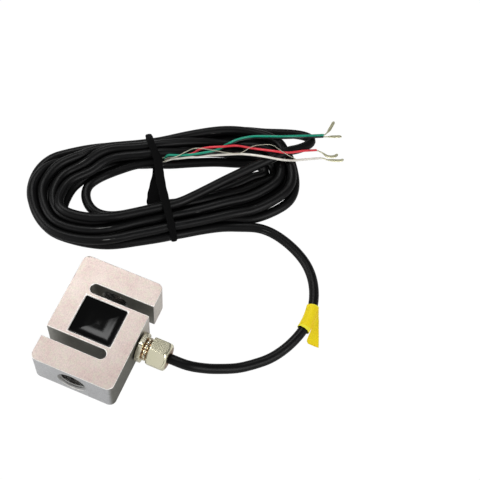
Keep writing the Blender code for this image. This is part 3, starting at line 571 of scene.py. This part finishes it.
def makeCores():
    tinned = strandFinish("tinnedStrands", cores["tinned"], 1.6 * mm)
    dipped = strandFinish("tinnedEnds", cores["dipped"], 3.2 * mm, 0.35)
    radius = cores["diameter"] / 2 * mm
    for name, route in cores["routes"].items():
        path = curveThrough(route, 0.9) * mm
        mesh = gridMesh("wire_" + name, [tubeGrid(path, radius, 14)])
        finish = coreFinish("core" + name.capitalize(), cores["colours"][name])
        wire = finishPiece("wire_" + name, mesh, finish, ["core_" + name])
        bare = finishPiece("bare_" + name, bareEnd(name, path), dipped, ["conductor_" + name])
    path = curveThrough(cores["drain"], 0.7) * mm
    radius = cores["drainDiameter"] / 2 * mm
    shreds = [tubeGrid(curveThrough(route, 0.4) * mm, width * mm, 8)
              for route, width in zip(cores["shreds"], cores["shredWidth"])]
    shreds = finishPiece("shield_shreds", gridMesh("shield_shreds", shreds), tinned)
    mesh = gridMesh("shield_drain", [tubeGrid(path, radius, 10)])
    drain = finishPiece("shield_drain", mesh, tinned, ["drain_wire"])
    print("cores: 4 and the drain wire")


makeCores()


# the S-shaped block
block = {
    "width": 50.8, "length": 71.2, "thickness": 25.4, "corner": 4, "edgeBreak": 0.3, "arm": 14.9,
    "slot": 6.3, "slotWeb": 12, "mouthBreak": 0.35, "pocket": (26.6, 24), "pocketCorner": 1, "web": 3,
    "pocketBreak": 0.4, "threadPitch": 1.5, "threadRoot": 16, "threadCrest": 14.4, "countersink": 18.4,
    "slotSink": 16.4, "portBore": 12.3, "portDepth": 7.6, "passage": 9.2, "passageBite": 1.8,
    "leadHole": 3.2, "leadHolePlace": 7.6, "faceColour": (0.735, 0.632, 0.586),
    "pinkColour": (0.718, 0.575, 0.54), "greenColour": (0.618, 0.588, 0.493),
    # the two right-side colours are painted shade in front of the gland and painted light behind it
    "sideColour": (0.57, 0.572, 0.58), "rightShadeColour": (0.19, 0.187, 0.165),
    "rightLitColour": (0.72, 0.677, 0.63), "bareEdgeAndHighlightColour": (1, 0.97, 0.93), "slotShadeColour": (0.28, 0.268, 0.222),
    "boreColour": (0.22, 0.215, 0.195), "roughness": 0.5, "stain": (-23, 34.9), "stainStretch": (0.45, 1.3),
    "stainColour": (0.12, 0.1, 0.09),
    # share of a pitch and depth from crest to root along the thread
    "threadShape": [(0, 1), (0.12, 1), (0.5, 0), (0.56, 0), (0.62, 0)], "threadSteps": 72}


def arcPoints(centre, radius, start, sweep, steps):
    # points of a circle's arc from start over sweep, both in degrees
    angle = np.radians(start + sweep * np.linspace(0, 1, steps + 1))
    return np.stack([centre[0] + radius * np.cos(angle), centre[1] + radius * np.sin(angle)], 1)


def blockOutline(inset):
    # the S profile drawn inward by inset: outer arcs shrink and slot ends grow about fixed centres
    halfX, halfY, corner = block["width"] / 2, block["length"] / 2, block["corner"]
    slotFar = halfY - block["arm"]
    slotNear = slotFar - block["slot"]
    middle = (slotFar + slotNear) / 2
    end = halfX - block["slotWeb"] - block["slot"] / 2
    small = block["mouthBreak"]
    run = [arcPoints((-halfX + corner, -halfY + corner), corner - inset, 180, 90, 12),
           arcPoints((halfX - corner, -halfY + corner), corner - inset, 270, 90, 12),
           arcPoints((halfX - inset - small, slotNear - inset - small), small, 0, 90, 4),
           arcPoints((-end, middle), block["slot"] / 2 + inset, 270, -180, 24),
           arcPoints((halfX - inset - small, slotFar + inset + small), small, 270, 90, 4)]
    half = np.concatenate(run)
    return np.concatenate([half, -half])


def roundedRectangle(width, length, radius, steps=6):
    # quarter circles at the four corners, anticlockwise from the upper right
    corners = ((1, 1, 0), (-1, 1, 90), (-1, -1, 180), (1, -1, 270))
    return np.concatenate([
        arcPoints((x * (width / 2 - radius), y * (length / 2 - radius)), radius, turn, 90, steps)
        for x, y, turn in corners])


def prism(name, levels):
    # closed solid through outlines of equal point counts at rising heights, its two ends one face each
    rings = np.stack([np.column_stack([outline, np.full(len(outline), height)])
                      for outline, height in levels])
    rows, cols = rings.shape[:2]
    faces = gridFaces(rows, cols, False).tolist()
    faces += [list(range(cols))[::-1], list(range((rows - 1) * cols, rows * cols))]
    mesh = bpy.data.meshes.new(name)
    mesh.from_pydata((rings.reshape(-1, 3) * mm).tolist(), [], faces)
    return mesh


def carryRound(along, reach, axis):
    # rows of a profile carried round an axis at the block's middle height: each row's place along the axis,
    # and its reach from the axis at every step of the turn
    angle = fullTurn(reach.shape[1])
    first, second = reach * np.cos(angle), reach * np.sin(angle)
    straight = np.broadcast_to(along, reach.shape)
    pair = (straight, first) if axis == "X" else (first, straight)
    return np.stack([*pair, second + block["thickness"] / 2], -1) * mm


def turnedMesh(name, profile, axis="Y", steps=72):
    # a closed solid from a profile of (distance along the axis, radius)
    along, radius = np.array(profile, float).T[..., None]
    return gridMesh(name, [carryRound(along, np.repeat(radius, steps, 1), axis)])


def coneMesh(name, start, end):
    # a cut cone along the block's length between two pairs of (place, radius)
    return turnedMesh(name, [(start[0], 0.01), start, end, (end[0], 0.01)])


def threadGrid(start, end):
    # screw surface: radius runs between crest and root as the point moves through one pitch, which each
    # turn of the angle shifts by a pitch, so rows follow the helix
    pitch, crest, root, columns = (
        block[key] for key in ("threadPitch", "threadCrest", "threadRoot", "threadSteps"))
    shape = np.array(block["threadShape"], float)
    turns = int(math.ceil((end - start) / pitch)) + 2
    place = (np.arange(turns)[:, None] + shape[None, :, 0]).ravel() * pitch + start - pitch
    radius = crest / 2 + np.tile(shape[:, 1], turns) * (root - crest) / 2
    along = place[:, None] + np.arange(columns) / columns * pitch
    return carryRound(along, np.repeat(radius[:, None], columns, 1), "Y")


def threadMesh(name, start, end):
    # the screw surface closed: its seam joins each row to the one a pitch on, and fans close both ends
    grid = threadGrid(start, end)
    rows, cols = grid.shape[:2]
    jump = len(block["threadShape"])
    index = np.arange(rows * cols).reshape(rows, cols)
    body = np.stack([index[:-1, :-1], index[:-1, 1:], index[1:, 1:], index[1:, :-1]], -1).reshape(-1, 4)
    last = index[:rows - jump - 1, -1]
    seam = np.stack([last, index[jump:rows - 1, 0], index[jump + 1:, 0], index[1:rows - jump, -1]], -1)
    lower = list(index[0]) + list(index[jump::-1, 0][:-1])
    upper = list(index[-1]) + list(index[rows - 2:rows - jump - 2:-1, -1])
    ends = (start - block["threadPitch"], end + 2 * block["threadPitch"])
    middle = np.array([[0, place, block["thickness"] / 2] for place in ends]) * mm
    faces = body.tolist() + seam.tolist()
    for loop, hub in ((lower, rows * cols), (upper, rows * cols + 1)):
        faces += [[first, second, hub] for first, second in zip(loop, loop[1:] + loop[:1])]
    mesh = bpy.data.meshes.new(name)
    mesh.from_pydata(np.concatenate([grid.reshape(-1, 3), middle]).tolist(), [], faces)
    return mesh


def carve(target, cutters):
    # takes the cutters away from the target one by one and returns the finished mesh
    for mesh in cutters:
        cleanMesh(mesh)
    objects = [addObject(mesh.name, mesh) for mesh in [target] + cutters]
    for cutter in objects[1:]:
        step = objects[0].modifiers.new(cutter.name, "BOOLEAN")
        step.operation = "DIFFERENCE"
        step.solver = "EXACT"
        step.object = cutter
    bpy.context.view_layer.update()
    shape = objects[0].evaluated_get(bpy.context.evaluated_depsgraph_get())
    mesh = bpy.data.meshes.new_from_object(shape)
    for thing in objects:
        bpy.data.objects.remove(thing, do_unlink=True)
    return mesh


def steelFinish():
    # ground on the large faces, milled on the sides with painted shade and painted light on the right-facing
    # ones, bright on broken edges with a painted highlight, painted shade in the slots, dark in the threads
    finish = Finish("groundSteel")
    normal = finish.place("Normal")
    x, y, z = (finish.part(axis) for axis in range(3))
    across, along = x.size(), y.size()
    facing = finish.part(2, normal).size()
    flat = facing.step(0.88, 0.97)
    slotFar = block["length"] / 2 - block["arm"]
    slotNear = slotFar - block["slot"]
    fromAxis = across.diagonal(z - block["thickness"] / 2 * mm)
    bore = (1 - fromAxis.step(8.3 * mm, 8.9 * mm)) * along.step((slotFar + 0.2) * mm, (slotFar + 0.4) * mm)
    broken = facing.step(0.3, 0.6) * (1 - facing.step(0.75, 0.95)) * (1 - bore)
    grain = finish.noise((1500.0, 900.0, 900.0), 3.0, 0.7)
    speck = finish.noise(1500.0, 2.0, 0.6)
    cloud = finish.noise(75.0, 4.0, 0.6)
    patch = finish.noise(420.0, 3.0, 0.7)
    warm = finish.blend(cloud.step(0.3, 0.75), block["faceColour"], block["pinkColour"])
    warm = finish.blend(patch.step(0.45, 0.62) * 0.6, warm, block["greenColour"])
    # painted shade and light: right-facing sides are dark in front of the gland and lighter behind it
    right = finish.blend(y.step(0.0, 8.0 * mm), block["rightShadeColour"], block["rightLitColour"])
    sideToneAndShade = finish.blend(finish.part(0, normal).step(0.3, 0.9), block["sideColour"], right)
    tone = finish.blend(flat, sideToneAndShade, warm)
    # a painted highlight, a bright line on the flat faces, follows the pocket and both slots: distance from
    # the pocket's sides, and from the middle line of a slot, which ends inside the block
    wide, long = block["pocket"]
    fromPocket = (across - wide / 2 * mm).above(along - long / 2 * mm) - block["pocketBreak"] * mm
    slotEnd = block["width"] / 2 - block["slotWeb"] - block["slot"] / 2
    beyond = (-slotEnd * mm - x * y.sign()).above(0.0)
    aside = along - (slotFar + slotNear) / 2 * mm
    fromSlot = beyond.diagonal(aside) - (block["slot"] / 2 + block["edgeBreak"]) * mm
    rim = (1 - fromPocket.step(0.1 * mm, 0.5 * mm)).above(1 - fromSlot.step(0.0, 0.4 * mm)) * flat
    # painted highlight: the bright line, and the broken edges partly as bare metal and partly as painted
    # highlight, blend to near white
    tone = finish.blend((rim * 0.75).above(broken * 0.95), tone, block["bareEdgeAndHighlightColour"])
    # painted shade on the slots' walls
    slotShade = along.step((slotNear - 0.3) * mm, slotNear * mm)
    slotShade = slotShade * (1 - along.step(slotFar * mm, (slotFar + 0.3) * mm))
    slotShade = slotShade * (1 - facing.step(0.2, 0.5)) * (1 - across.step(24.9 * mm, 25.2 * mm))
    tone = finish.blend(slotShade * 0.75, tone, block["slotShadeColour"])
    # one brown stain on the upper face
    (stainX, stainY), stretch = block["stain"], block["stainStretch"]
    stain = ((x - stainX * mm) * (stretch[0] / mm)).diagonal((y - stainY * mm) * (stretch[1] / mm))
    tone = finish.blend((1 - stain.step(0.4, 1.1)) * patch.step(0.35, 0.6) * 0.8, tone, block["stainColour"])
    tone = finish.dim(tone, 0.44 + 0.66 * grain + 0.46 * patch)
    return finish.feed({
        "Base Color": finish.blend(bore * 0.5, tone, block["boreColour"]), "Metallic": 1.0,
        "Roughness": (block["roughness"] + 0.14 * (cloud - 0.5) + 0.14 * (speck - 0.5)
                      - 0.24 * bore + 0.12 * broken),
        "Normal": finish.bump(grain * 0.6 + speck * 0.4, 0.07 * mm, 0.45)})


def makeBlock():
    edge, high, web, lip, corner, crest, port, depth, passage = (block[key] for key in (
        "edgeBreak", "thickness", "web", "pocketBreak", "pocketCorner", "threadCrest", "portBore",
        "portDepth", "passage"))
    target = prism("blockBlank", [(blockOutline(edge), 0), (blockOutline(0), edge),
                                  (blockOutline(0), high - edge), (blockOutline(edge), high)])
    halfX, halfY = block["width"] / 2, block["length"] / 2
    slotFar = halfY - block["arm"]
    wide, long = block["pocket"]
    grow = lip * 3
    cutters = []
    for side in (1, -1):
        face = high if side > 0 else 0
        wall = roundedRectangle(wide, long, corner)
        mouth = roundedRectangle(wide + 2 * grow, long + 2 * grow, corner + grow)
        cutters.append(prism("pocketTool", [(wall, high / 2 + side * web / 2), (wall, face - side * lip),
                                            (mouth, face + side * 2 * lip)]))
    for side in (-1, 1):
        cutters.append(threadMesh("tap", *sorted((side * slotFar, side * halfY))))
        sink = (block["countersink"] - crest) / 2 + 0.6
        cutters.append(coneMesh("sinkTool", (side * (halfY - sink + 0.6), crest / 2 - 0.6),
                                (side * (halfY + 1), block["countersink"] / 2 + 1)))
        cutters.append(coneMesh("slotSinkTool", (side * (slotFar + 1.0), block["slotSink"] / 2 - 1.0),
                                (side * (slotFar - 1.0), block["slotSink"] / 2 + 1.0)))
    inner = wide / 2 - block["passageBite"]
    profile = [(inner, 0.01), (inner, passage / 2), (halfX - depth, passage / 2), (halfX - depth, port / 2),
               (halfX - edge, port / 2), (halfX + 1, port / 2 + edge + 1), (halfX + 1, 0.01)]
    cutters.append(turnedMesh("portTool", profile, "X", 48))
    ring = arcPoints((0, -block["leadHolePlace"]), block["leadHole"] / 2, 0, 345, 23)
    cutters.append(prism("leadHoleTool", [(ring, high / 2 - web), (ring, high / 2 + web)]))
    mesh = carve(target, cutters)
    mesh.name = "block"
    finishPiece("block", mesh, steelFinish(), ["s_beam_body"], 28)
    print("block:", len(mesh.vertices), "points")


makeBlock()


# the poured filling of each pocket
filling = {
    "clear": 0.3, "recess": 0.4, "climb": 2.2, "reach": 2.7, "sway": 0.06,
    "colour": (0.0022, 0.0022, 0.0023), "roughness": 0.13, "wiringHeight": 3.4, "gaugeRoom": 1.2,
    "gauge": 8, "boardWidth": 19, "dustColour": (0.05, 0.05, 0.05), "shine": 0.18}


def fillingFinish():
    finish = Finish("pottingResin")
    cloud = finish.noise(90.0, 3.0)
    dust = finish.noise(2400.0, 1.0).step(0.72, 0.80)
    return finish.feed({
        "Base Color": finish.blend(dust * 0.25, filling["colour"], filling["dustColour"]),
        "Roughness": filling["roughness"] + 0.05 * cloud + 0.15 * dust,
        "Specular IOR Level": filling["shine"], "Normal": finish.bump(cloud, 0.25 * mm, 0.25)})


def makeFilling(name, side):
    # rings of the pocket's outline shrink to its middle; the surface climbs the walls by two exponentials
    wide, long = (size - 2 * filling["clear"] for size in block["pocket"])
    outline = roundedRectangle(wide, long, block["pocketCorner"] - filling["clear"], 10)
    middle = block["thickness"] / 2
    webFace = middle + side * (block["web"] / 2 + filling["clear"])
    wall = middle + side * (middle - filling["recess"])
    share = 1 - np.linspace(0, 1, 40)[:-1] ** 1.3
    flat = share[:, None, None] * outline[None]
    x, y = flat[..., 0], flat[..., 1]
    edge = ((1 - np.exp(-(wide / 2 - np.abs(x)) / filling["reach"]))
            * (1 - np.exp(-(long / 2 - np.abs(y)) / filling["reach"])))
    sway = np.sin(x * 0.55 + 0.8) * np.cos(y * 0.42 + 0.5) + 0.5 * np.sin(x * 1.1)
    top = wall - side * (filling["climb"] * edge - filling["sway"] * sway * edge)
    foot = np.concatenate([outline, np.full((len(outline), 1), webFace)], 1)
    grid = np.concatenate([foot[None], np.concatenate([flat, top[..., None]], -1)]) * mm
    # the room inside it for the gauges, and on the upper side for the wiring too
    pad = filling["gauge"] / 2 + 1.0
    front = block["leadHolePlace"] + block["leadHole"] / 2 + filling["clear"]
    room, left, right, back = (
        (filling["wiringHeight"], filling["boardWidth"] / 2 + 2.4, block["width"] / 2, long / 2 - 0.1)
        if side > 0 else (filling["gaugeRoom"], pad, pad, pad))
    shape = np.array([(-left, -front), (right, -front), (right, back), (-left, back)])
    low, high = sorted((webFace - side, middle + side * (block["web"] / 2 + room)))
    mesh = carve(gridMesh(name + "_blank", [grid]), [prism("roomTool", [(shape, low), (shape, high)])])
    finishPiece(name + "_pour", mesh, resin, [name], 40)


resin = fillingFinish()
makeFilling("potting_top", 1)
makeFilling("potting_bottom", -1)
print("filling: 2 pockets")


# the cable gland in the block's right side
gland = {
    "hexagons": {"hex": (16, 0.22), "flange": (17.4, 0.2)}, "cornerTurn": 45, "flangeTrim": 0.35,
    "stubStart": 18.1, "stub": 5.85, "bore": 3.6, "flange": (26.1, 29.2), "groove": (27.1, 6.15, 7.85),
    "neckEnd": 32.5, "neckRoot": 6.2, "neckCrest": 7.05, "ribs": 13, "ribTurn": 0.534, "spigot": 6.2,
    "spigotEnd": 38.5, "chamber": 5.2, "chamberStart": 29.6, "nut": (32.8, 44.6), "dome": 4.3, "mouth": 5.6,
    "nutBore": 6.5, "nutShoulder": 39.9, "cone": 42.5, "coneEnd": 4.4, "cableHole": 3.6,
    "ring": (26.25, 7, 0.55), "colour": (0.94, 0.9, 0.665), "warmColour": (0.98, 0.92, 0.74),
    "gapColour": (0.32, 0.15, 0.055), "roughness": 0.22, "ringColour": (0.014, 0.014, 0.014)}


def softMin(first, second, width):
    # the smaller of two values, rounded where they cross
    return 0.5 * (first + second - np.sqrt((first - second) ** 2 + width ** 2))


def shapedGrid(parts, steps=312):
    # each part is a kind and its rows of (distance along, radius): round, a hexagon under a crown of that
    # radius, or ribbed, where radius = root + (crest - root) * abs(sin(ribs * angle / 2 - turn)) ** 0.6
    along, radius = np.array([row for kind, rows in parts for row in rows], float).T[..., None]
    kinds = np.array([kind for kind, rows in parts for row in rows])[:, None]
    angle = fullTurn(steps)
    fromFlat = np.radians((np.degrees(angle) - gland["cornerTurn"]) % 60 - 30)
    reach = np.repeat(radius, steps, 1)
    for kind, (flats, rounding) in gland["hexagons"].items():
        reach = np.where(kinds == kind, softMin(flats / 2 / np.cos(fromFlat)[None], reach, rounding), reach)
    root = gland["neckRoot"]
    wave = np.abs(np.sin(angle * gland["ribs"] / 2 - gland["ribTurn"])) ** 0.6
    return carryRound(along, np.where(kinds == "rib", root + (reach - root) * wave[None], reach), "X")


def platedFinish():
    # clear plate on the nut, warmer on the flange, brown in the hollows of the neck and round the cable
    finish = Finish("nickelPlate")
    along, across, height = (finish.part(axis) for axis in range(3))
    fromAxis = across.diagonal(height - block["thickness"] / 2 * mm)
    cloud = finish.noise(110.0)
    scratch = finish.noise((2600.0, 500.0, 500.0))
    warm = 1 - along.step(32.0 * mm, 33.0 * mm)
    tone = finish.blend(warm * 0.7 + cloud.step(0.4, 0.8) * 0.3, gland["colour"], gland["warmColour"])
    hollow = 1 - fromAxis.step(6.35 * mm, 6.85 * mm)
    return finish.feed({
        "Base Color": finish.blend(hollow * 0.9, tone, gland["gapColour"]), "Metallic": 1.0,
        "Roughness": gland["roughness"] + 0.08 * (cloud - 0.5) + 0.06 * scratch,
        "Normal": finish.bump(scratch, 0.02 * mm, 0.2)})


def rubberFinish(name, colour):
    finish = Finish(name)
    skin = finish.noise(1800.0)
    return finish.feed({"Base Color": colour, "Roughness": 0.55 + 0.2 * skin,
                        "Normal": finish.bump(skin, 0.04 * mm, 0.4)})


def makeGland():
    stubStart, stub, bore, root, crest, neckEnd, spigot, spigotEnd, chamber, chamberStart = (
        gland[key] for key in ("stubStart", "stub", "bore", "neckRoot", "neckCrest", "neckEnd", "spigot",
                               "spigotEnd", "chamber", "chamberStart"))
    start, end = gland["flange"]
    grooveEnd, grooveIn, grooveOut = gland["groove"]
    corner, rim = (flats / math.sqrt(3) for flats, rounding in gland["hexagons"].values())
    rim -= gland["flangeTrim"]
    ribs = [(end + 0.5 + share * (neckEnd - end - 1.0),
             root + (crest - root) * math.sin(math.pi * share) ** 0.5)
            for share in np.linspace(0.04, 0.96, 11)]
    base = [("round", [(stubStart, bore), (stubStart, stub - 0.5), (stubStart + 0.5, stub), (start, stub),
                       (start, grooveIn), (grooveEnd, grooveIn), (grooveEnd, grooveOut), (start, grooveOut)]),
            ("flange", [(start, rim - 1.0), (start + 0.15, rim - 0.5), (start + 0.4, rim + 0.05),
                        (end - 0.4, rim + 0.05), (end - 0.15, rim - 0.5), (end, rim - 1.0)]),
            ("round", [(end, root), (end + 0.4, root)]),
            ("rib", ribs),
            ("round", [(neckEnd - 0.4, root), (neckEnd, root), (spigotEnd, spigot), (spigotEnd, chamber),
                       (chamberStart, chamber), (chamberStart, bore)])]
    plate = platedFinish()
    mesh = gridMesh("gland_base", [shapedGrid(base)], joinRows=True)
    finishPiece("gland_base", mesh, plate, ["gland_body"], 32)

    start, end = gland["nut"]
    mouth, hole, inside = gland["mouth"], gland["cableHole"], gland["nutBore"]
    domeStart, crown = end - gland["dome"], corner + 0.3
    dome = [(domeStart + gland["dome"] * math.sin(turn), mouth + (crown - mouth) * math.cos(turn))
            for turn in np.radians(np.linspace(8, 90, 16))]
    cap = [("round", [(start, inside)]),
           ("hex", [(start, corner - 1.2), (start + 0.3, corner - 0.45), (start + 0.8, corner + 0.1),
                    (start + 1.4, crown), (domeStart, crown), *dome]),
           ("round", [(end, mouth - 0.6), (end, hole + 0.3), (end - 0.3, hole), (gland["cone"], hole),
                      (gland["cone"], gland["coneEnd"]), (gland["nutShoulder"], inside)])]
    mesh = gridMesh("gland_cap", [shapedGrid(cap)], joinRows=True)
    finishPiece("gland_cap", mesh, plate, ["gland_nut"], 32)

    along, radius, section = gland["ring"]
    ring = [("round", [(along + section * math.cos(turn), radius + section * math.sin(turn))
                       for turn in fullTurn(16)])]
    mesh = gridMesh("sealing_ring", [shapedGrid(ring, 96)], joinRows=True)
    rubber = rubberFinish("ringRubber", gland["ringColour"])
    finishPiece("sealing_ring", mesh, rubber, ["gland_o_ring"])
    print("gland: base, cap and ring")


makeGland()


def strapFinish():
    # woven pile: crossed fine waves broken by noise
    finish = Finish("strapPile", "UV")
    fuzz = finish.noise(3200.0, 3.0, 0.7)
    weave = finish.noise((1400.0, 2600.0, 1.0), 1.0)
    tone = finish.blend(fuzz.step(0.45, 0.8), strap["colour"], shade(strap["colour"], 2.6))
    return finish.feed({"Base Color": tone, "Roughness": 0.78 + 0.2 * fuzz, "Specular IOR Level": 0.1,
                        "Normal": finish.bump(fuzz * 0.7 + weave * 0.5, 0.25 * mm, 0.9)})


def makeStrap():
    # a flat rounded section carried round the loop, its width across the loop's own upright plane
    guide = np.array(strap["loop"], float)
    where = np.arange(0, len(guide), 1 / 14)
    fine = splineAt(guide, where, closed=True)
    path, width, thick = fine[:, :3], fine[:, 3], fine[:, 4]
    along = unit(np.roll(path, -1, 0) - np.roll(path, 1, 0))
    plane = guide[strap["farEnd"], :2] - guide[0, :2]
    across = np.array([plane[1], -plane[0], 0.0]) / np.linalg.norm(plane)
    rise = unit(np.cross(across[None], along))
    angle = fullTurn(28)
    flat = np.sign(np.cos(angle)) * np.abs(np.cos(angle)) ** 0.7
    high = np.sign(np.sin(angle)) * np.abs(np.sin(angle)) ** 0.8
    ripple = 1 + 0.05 * np.sin(where * 5.3) * np.cos(where * 2.1)
    grid = (path[:, None] + across[None, None] * (flat[None, :, None] * (width * ripple)[:, None, None] / 2)
            + rise[:, None] * (high[None, :, None] * thick[:, None, None] / 2))
    mesh = gridMesh("strap", [grid * mm], joinRows=True)
    finishPiece("strap", mesh, strapFinish(), ["hank_tie"], 60)
    print("strap: round both runs")


makeStrap()


# the yellow label: a stiff film wrapped loosely round the lead, its free edge a flag that runs straight on
label = {
    "stretch": (8.84, 10.72), "radius": (3.98, 3.8), "wall": 0.25,
    "rootEdge": [
        (111.5, 68.8, 4.8), (112, 65.5, 4.8), (112.4, 62, 4.7), (112.6, 58, 4.5), (112.8, 54, 4),
        (112.7, 51, 3.6), (112.7, 48.5, 3.3), (112.9, 46.7, 3), (114.1, 45.6, 2.5)],
    "outerEdge": [
        (111.9, 69.1, 4.6), (112.6, 67.8, 3), (113.4, 66, 1.7), (115.1, 62.1, 0.8), (116.9, 57.3, 0.6),
        (119, 51.8, 0.6), (120.9, 46.4, 0.6)],
    "colour": (1, 0.8, 0.016), "deepToneAndShadeColour": (0.98, 0.66, 0.014), "rimColour": (1, 0.92, 0.05),
    # where the flag leaves the wrap, and the wrap's middle along the cable
    "foldLine": 112.4, "middle": 60.9}


def labelFinish():
    # painted shade, a deeper yellow, where the flag folds away from the wrap; deeper yellow in random clouds,
    # paler at the wrap's two ends
    finish = Finish("labelFilm")
    cloud = finish.noise(160.0, 3.0)
    fine = finish.noise(1500.0)
    across, along = finish.part(0), finish.part(1)
    # painted shade along the fold line
    foldShade = 1 - (across - label["foldLine"] * mm).size().step(0.2 * mm, 0.9 * mm)
    rim = (along - label["middle"] * mm).size().step(7.0 * mm, 7.5 * mm)
    rim = rim * (1 - across.step((label["foldLine"] - 0.6) * mm, label["foldLine"] * mm))
    tone = finish.blend(cloud.step(0.3, 0.8) * 0.5 + foldShade * 0.5, label["colour"], label["deepToneAndShadeColour"])
    return finish.feed({
        "Base Color": finish.blend(rim, tone, label["rimColour"]), "Roughness": 0.5 + 0.15 * fine,
        "Specular IOR Level": 0.2, "Normal": finish.bump(cloud * 0.7 + fine * 0.15, 0.3 * mm, 0.5)})


def makeLabel():
    # the wrap is a sleeve that widens to its lower mouth; the flag is ruled between its root and outer edges
    path = splineAt(np.array(cable["lead"], float), np.linspace(*label["stretch"], 32))
    radius = np.linspace(*label["radius"], len(path))
    inside, outside = (tubeGrid(path, radius - inward, 48) for inward in (label["wall"], 0.0))
    wrap = gridMesh("label", [np.concatenate([inside, outside[::-1]]) * mm], joinRows=True)
    root, outer = (curveThrough(label[edge], 0.8) for edge in ("rootEdge", "outerEdge"))
    even, given = (np.linspace(0, 1, len(edge)) for edge in (root, outer))
    outer = np.stack([np.interp(even, given, outer[:, k]) for k in range(3)], 1)
    share = np.linspace(0, 1, 12)[None, :, None]
    film = root[:, None] + (outer - root)[:, None] * share
    film[..., 2] -= 0.2 * np.sin(np.pi * share[..., 0]) * (root[:, 2] - outer[:, 2])[:, None]
    thick = np.array([0.0, 0.0, label["wall"] / 2])
    flag = np.concatenate([film + thick, film[:, ::-1] - thick], 1) * mm
    joined = bmesh.new()
    joined.from_mesh(wrap)
    joined.from_mesh(gridMesh("labelFlag", [flag]))
    joined.to_mesh(wrap)
    joined.free()
    finishPiece("label", wrap, labelFinish(), ["cable_label"], 50)
    print("label: wrap and flag")


makeLabel()


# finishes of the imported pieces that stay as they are, inside the block and the gland
innerLooks = {
    "strain": ("gaugeFoil", (0.62, 0.40, 0.16)), "bridge": ("boardResin", (0.03, 0.20, 0.08)),
    "trim": ("resistorBody", (0.04, 0.04, 0.05)), "gland": ("sealRubber", (0.016, 0.016, 0.016)),
    "gauge": ("enamelWire", (0.45, 0.16, 0.05))}


def keepNodes():
    finishes = {kind: strandFinish(*values, 1.0 * mm) if kind == "gauge" else rubberFinish(*values)
                for kind, values in innerLooks.items()}
    for name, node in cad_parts.items():
        if node.hide_render:
            continue
        kind, last = name.split("_")[0], name.split("_")[-1]
        finish = finishes.get(kind) or rubberFinish("tail_" + last, cores["colours"][last])
        node.data.materials.clear()
        node.data.materials.append(finish.material)


keepNodes()


# a white table, a soft box high behind the left, a broad front one, one each side and a dim even room
studio = {
    "floor": 1.6, "floorHeight": -0.0001, "tableColour": (0.8, 0.8, 0.8),
    # how much white the camera, metal and gaps see on the table
    "seen": 0.97, "glossy": 0.15, "through": 0.8, "glow": 1.03, "room": 0.1, "aim": (0, 0.05, 0.01),
    "lamps": [
        ("highLamp", (-0.41, 0.56, 0.92), (0.52, 0.25), 3.8),
        ("frontLamp", (-0.4, -0.98, 0.62), (1.5, 1.4), 3.2),
        ("rightLamp", (0.98, -0.35, 0.66), (0.7, 0.7), 8),
        ("leftLamp", (-1.02, -0.42, 0.62), (0.7, 0.7), 7)]}


def whiteShare(nodes, seen):
    # how much of the white background each kind of ray meets; seen is the camera's own share
    rays = nodes.tree.nodes.new("ShaderNodeLightPath")
    camera, glossy, through = (Signal(nodes, rays.outputs[name]) for name in
                               ("Is Camera Ray", "Is Glossy Ray", "Is Transmission Ray"))
    return camera * seen + glossy * studio["glossy"] + through * studio["through"]


def makeStudio():
    size, floor = studio["floor"], studio["floorHeight"]
    mesh = bpy.data.meshes.new("table")
    corners = [(-size, -size, floor), (size, -size, floor), (size, size, floor), (-size, size, floor)]
    mesh.from_pydata(corners, [], [(0, 1, 2, 3)])
    table = addObject("table", mesh)
    finish = Finish("tableWhite")
    finish.feed({"Base Color": studio["tableColour"], "Roughness": 0.9})
    glow = finish.node("ShaderNodeEmission", values={"Color": (1.0, 1.0, 1.0), "Strength": studio["glow"]})
    mixed = finish.node("ShaderNodeMixShader", values={
        0: whiteShare(finish, studio["seen"]), 1: Signal(finish, finish.shader.outputs[0]), 2: glow})
    finish.plug(finish.tree.nodes["Material Output"].inputs["Surface"], mixed)
    mesh.materials.append(finish.material)

    # the room lights dimly but looks as white as the table, in metal and through gaps too
    world = bpy.data.worlds.new("room")
    world.use_nodes = True
    room = Nodes(world.node_tree)
    background = room.tree.nodes["Background"]
    room.plug(background.inputs["Color"], (1.0, 1.0, 1.0))
    room.plug(background.inputs["Strength"], whiteShare(room, 1.0).above(studio["room"]))
    bpy.context.scene.world = world

    aim = Vector(studio["aim"])
    for name, place, sides, power in studio["lamps"]:
        light = bpy.data.lights.new(name, "AREA")
        light.shape = "RECTANGLE"
        light.size, light.size_y = sides
        light.energy = power
        lamp = addObject(name, light)
        lamp.location = place
        lamp.rotation_mode = "QUATERNION"
        lamp.rotation_quaternion = (aim - Vector(place)).to_track_quat("-Z", "Y")
    bpy.context.scene.view_settings.view_transform = "Standard"
    print("studio:", len(studio["lamps"]), "lamps")


makeStudio()
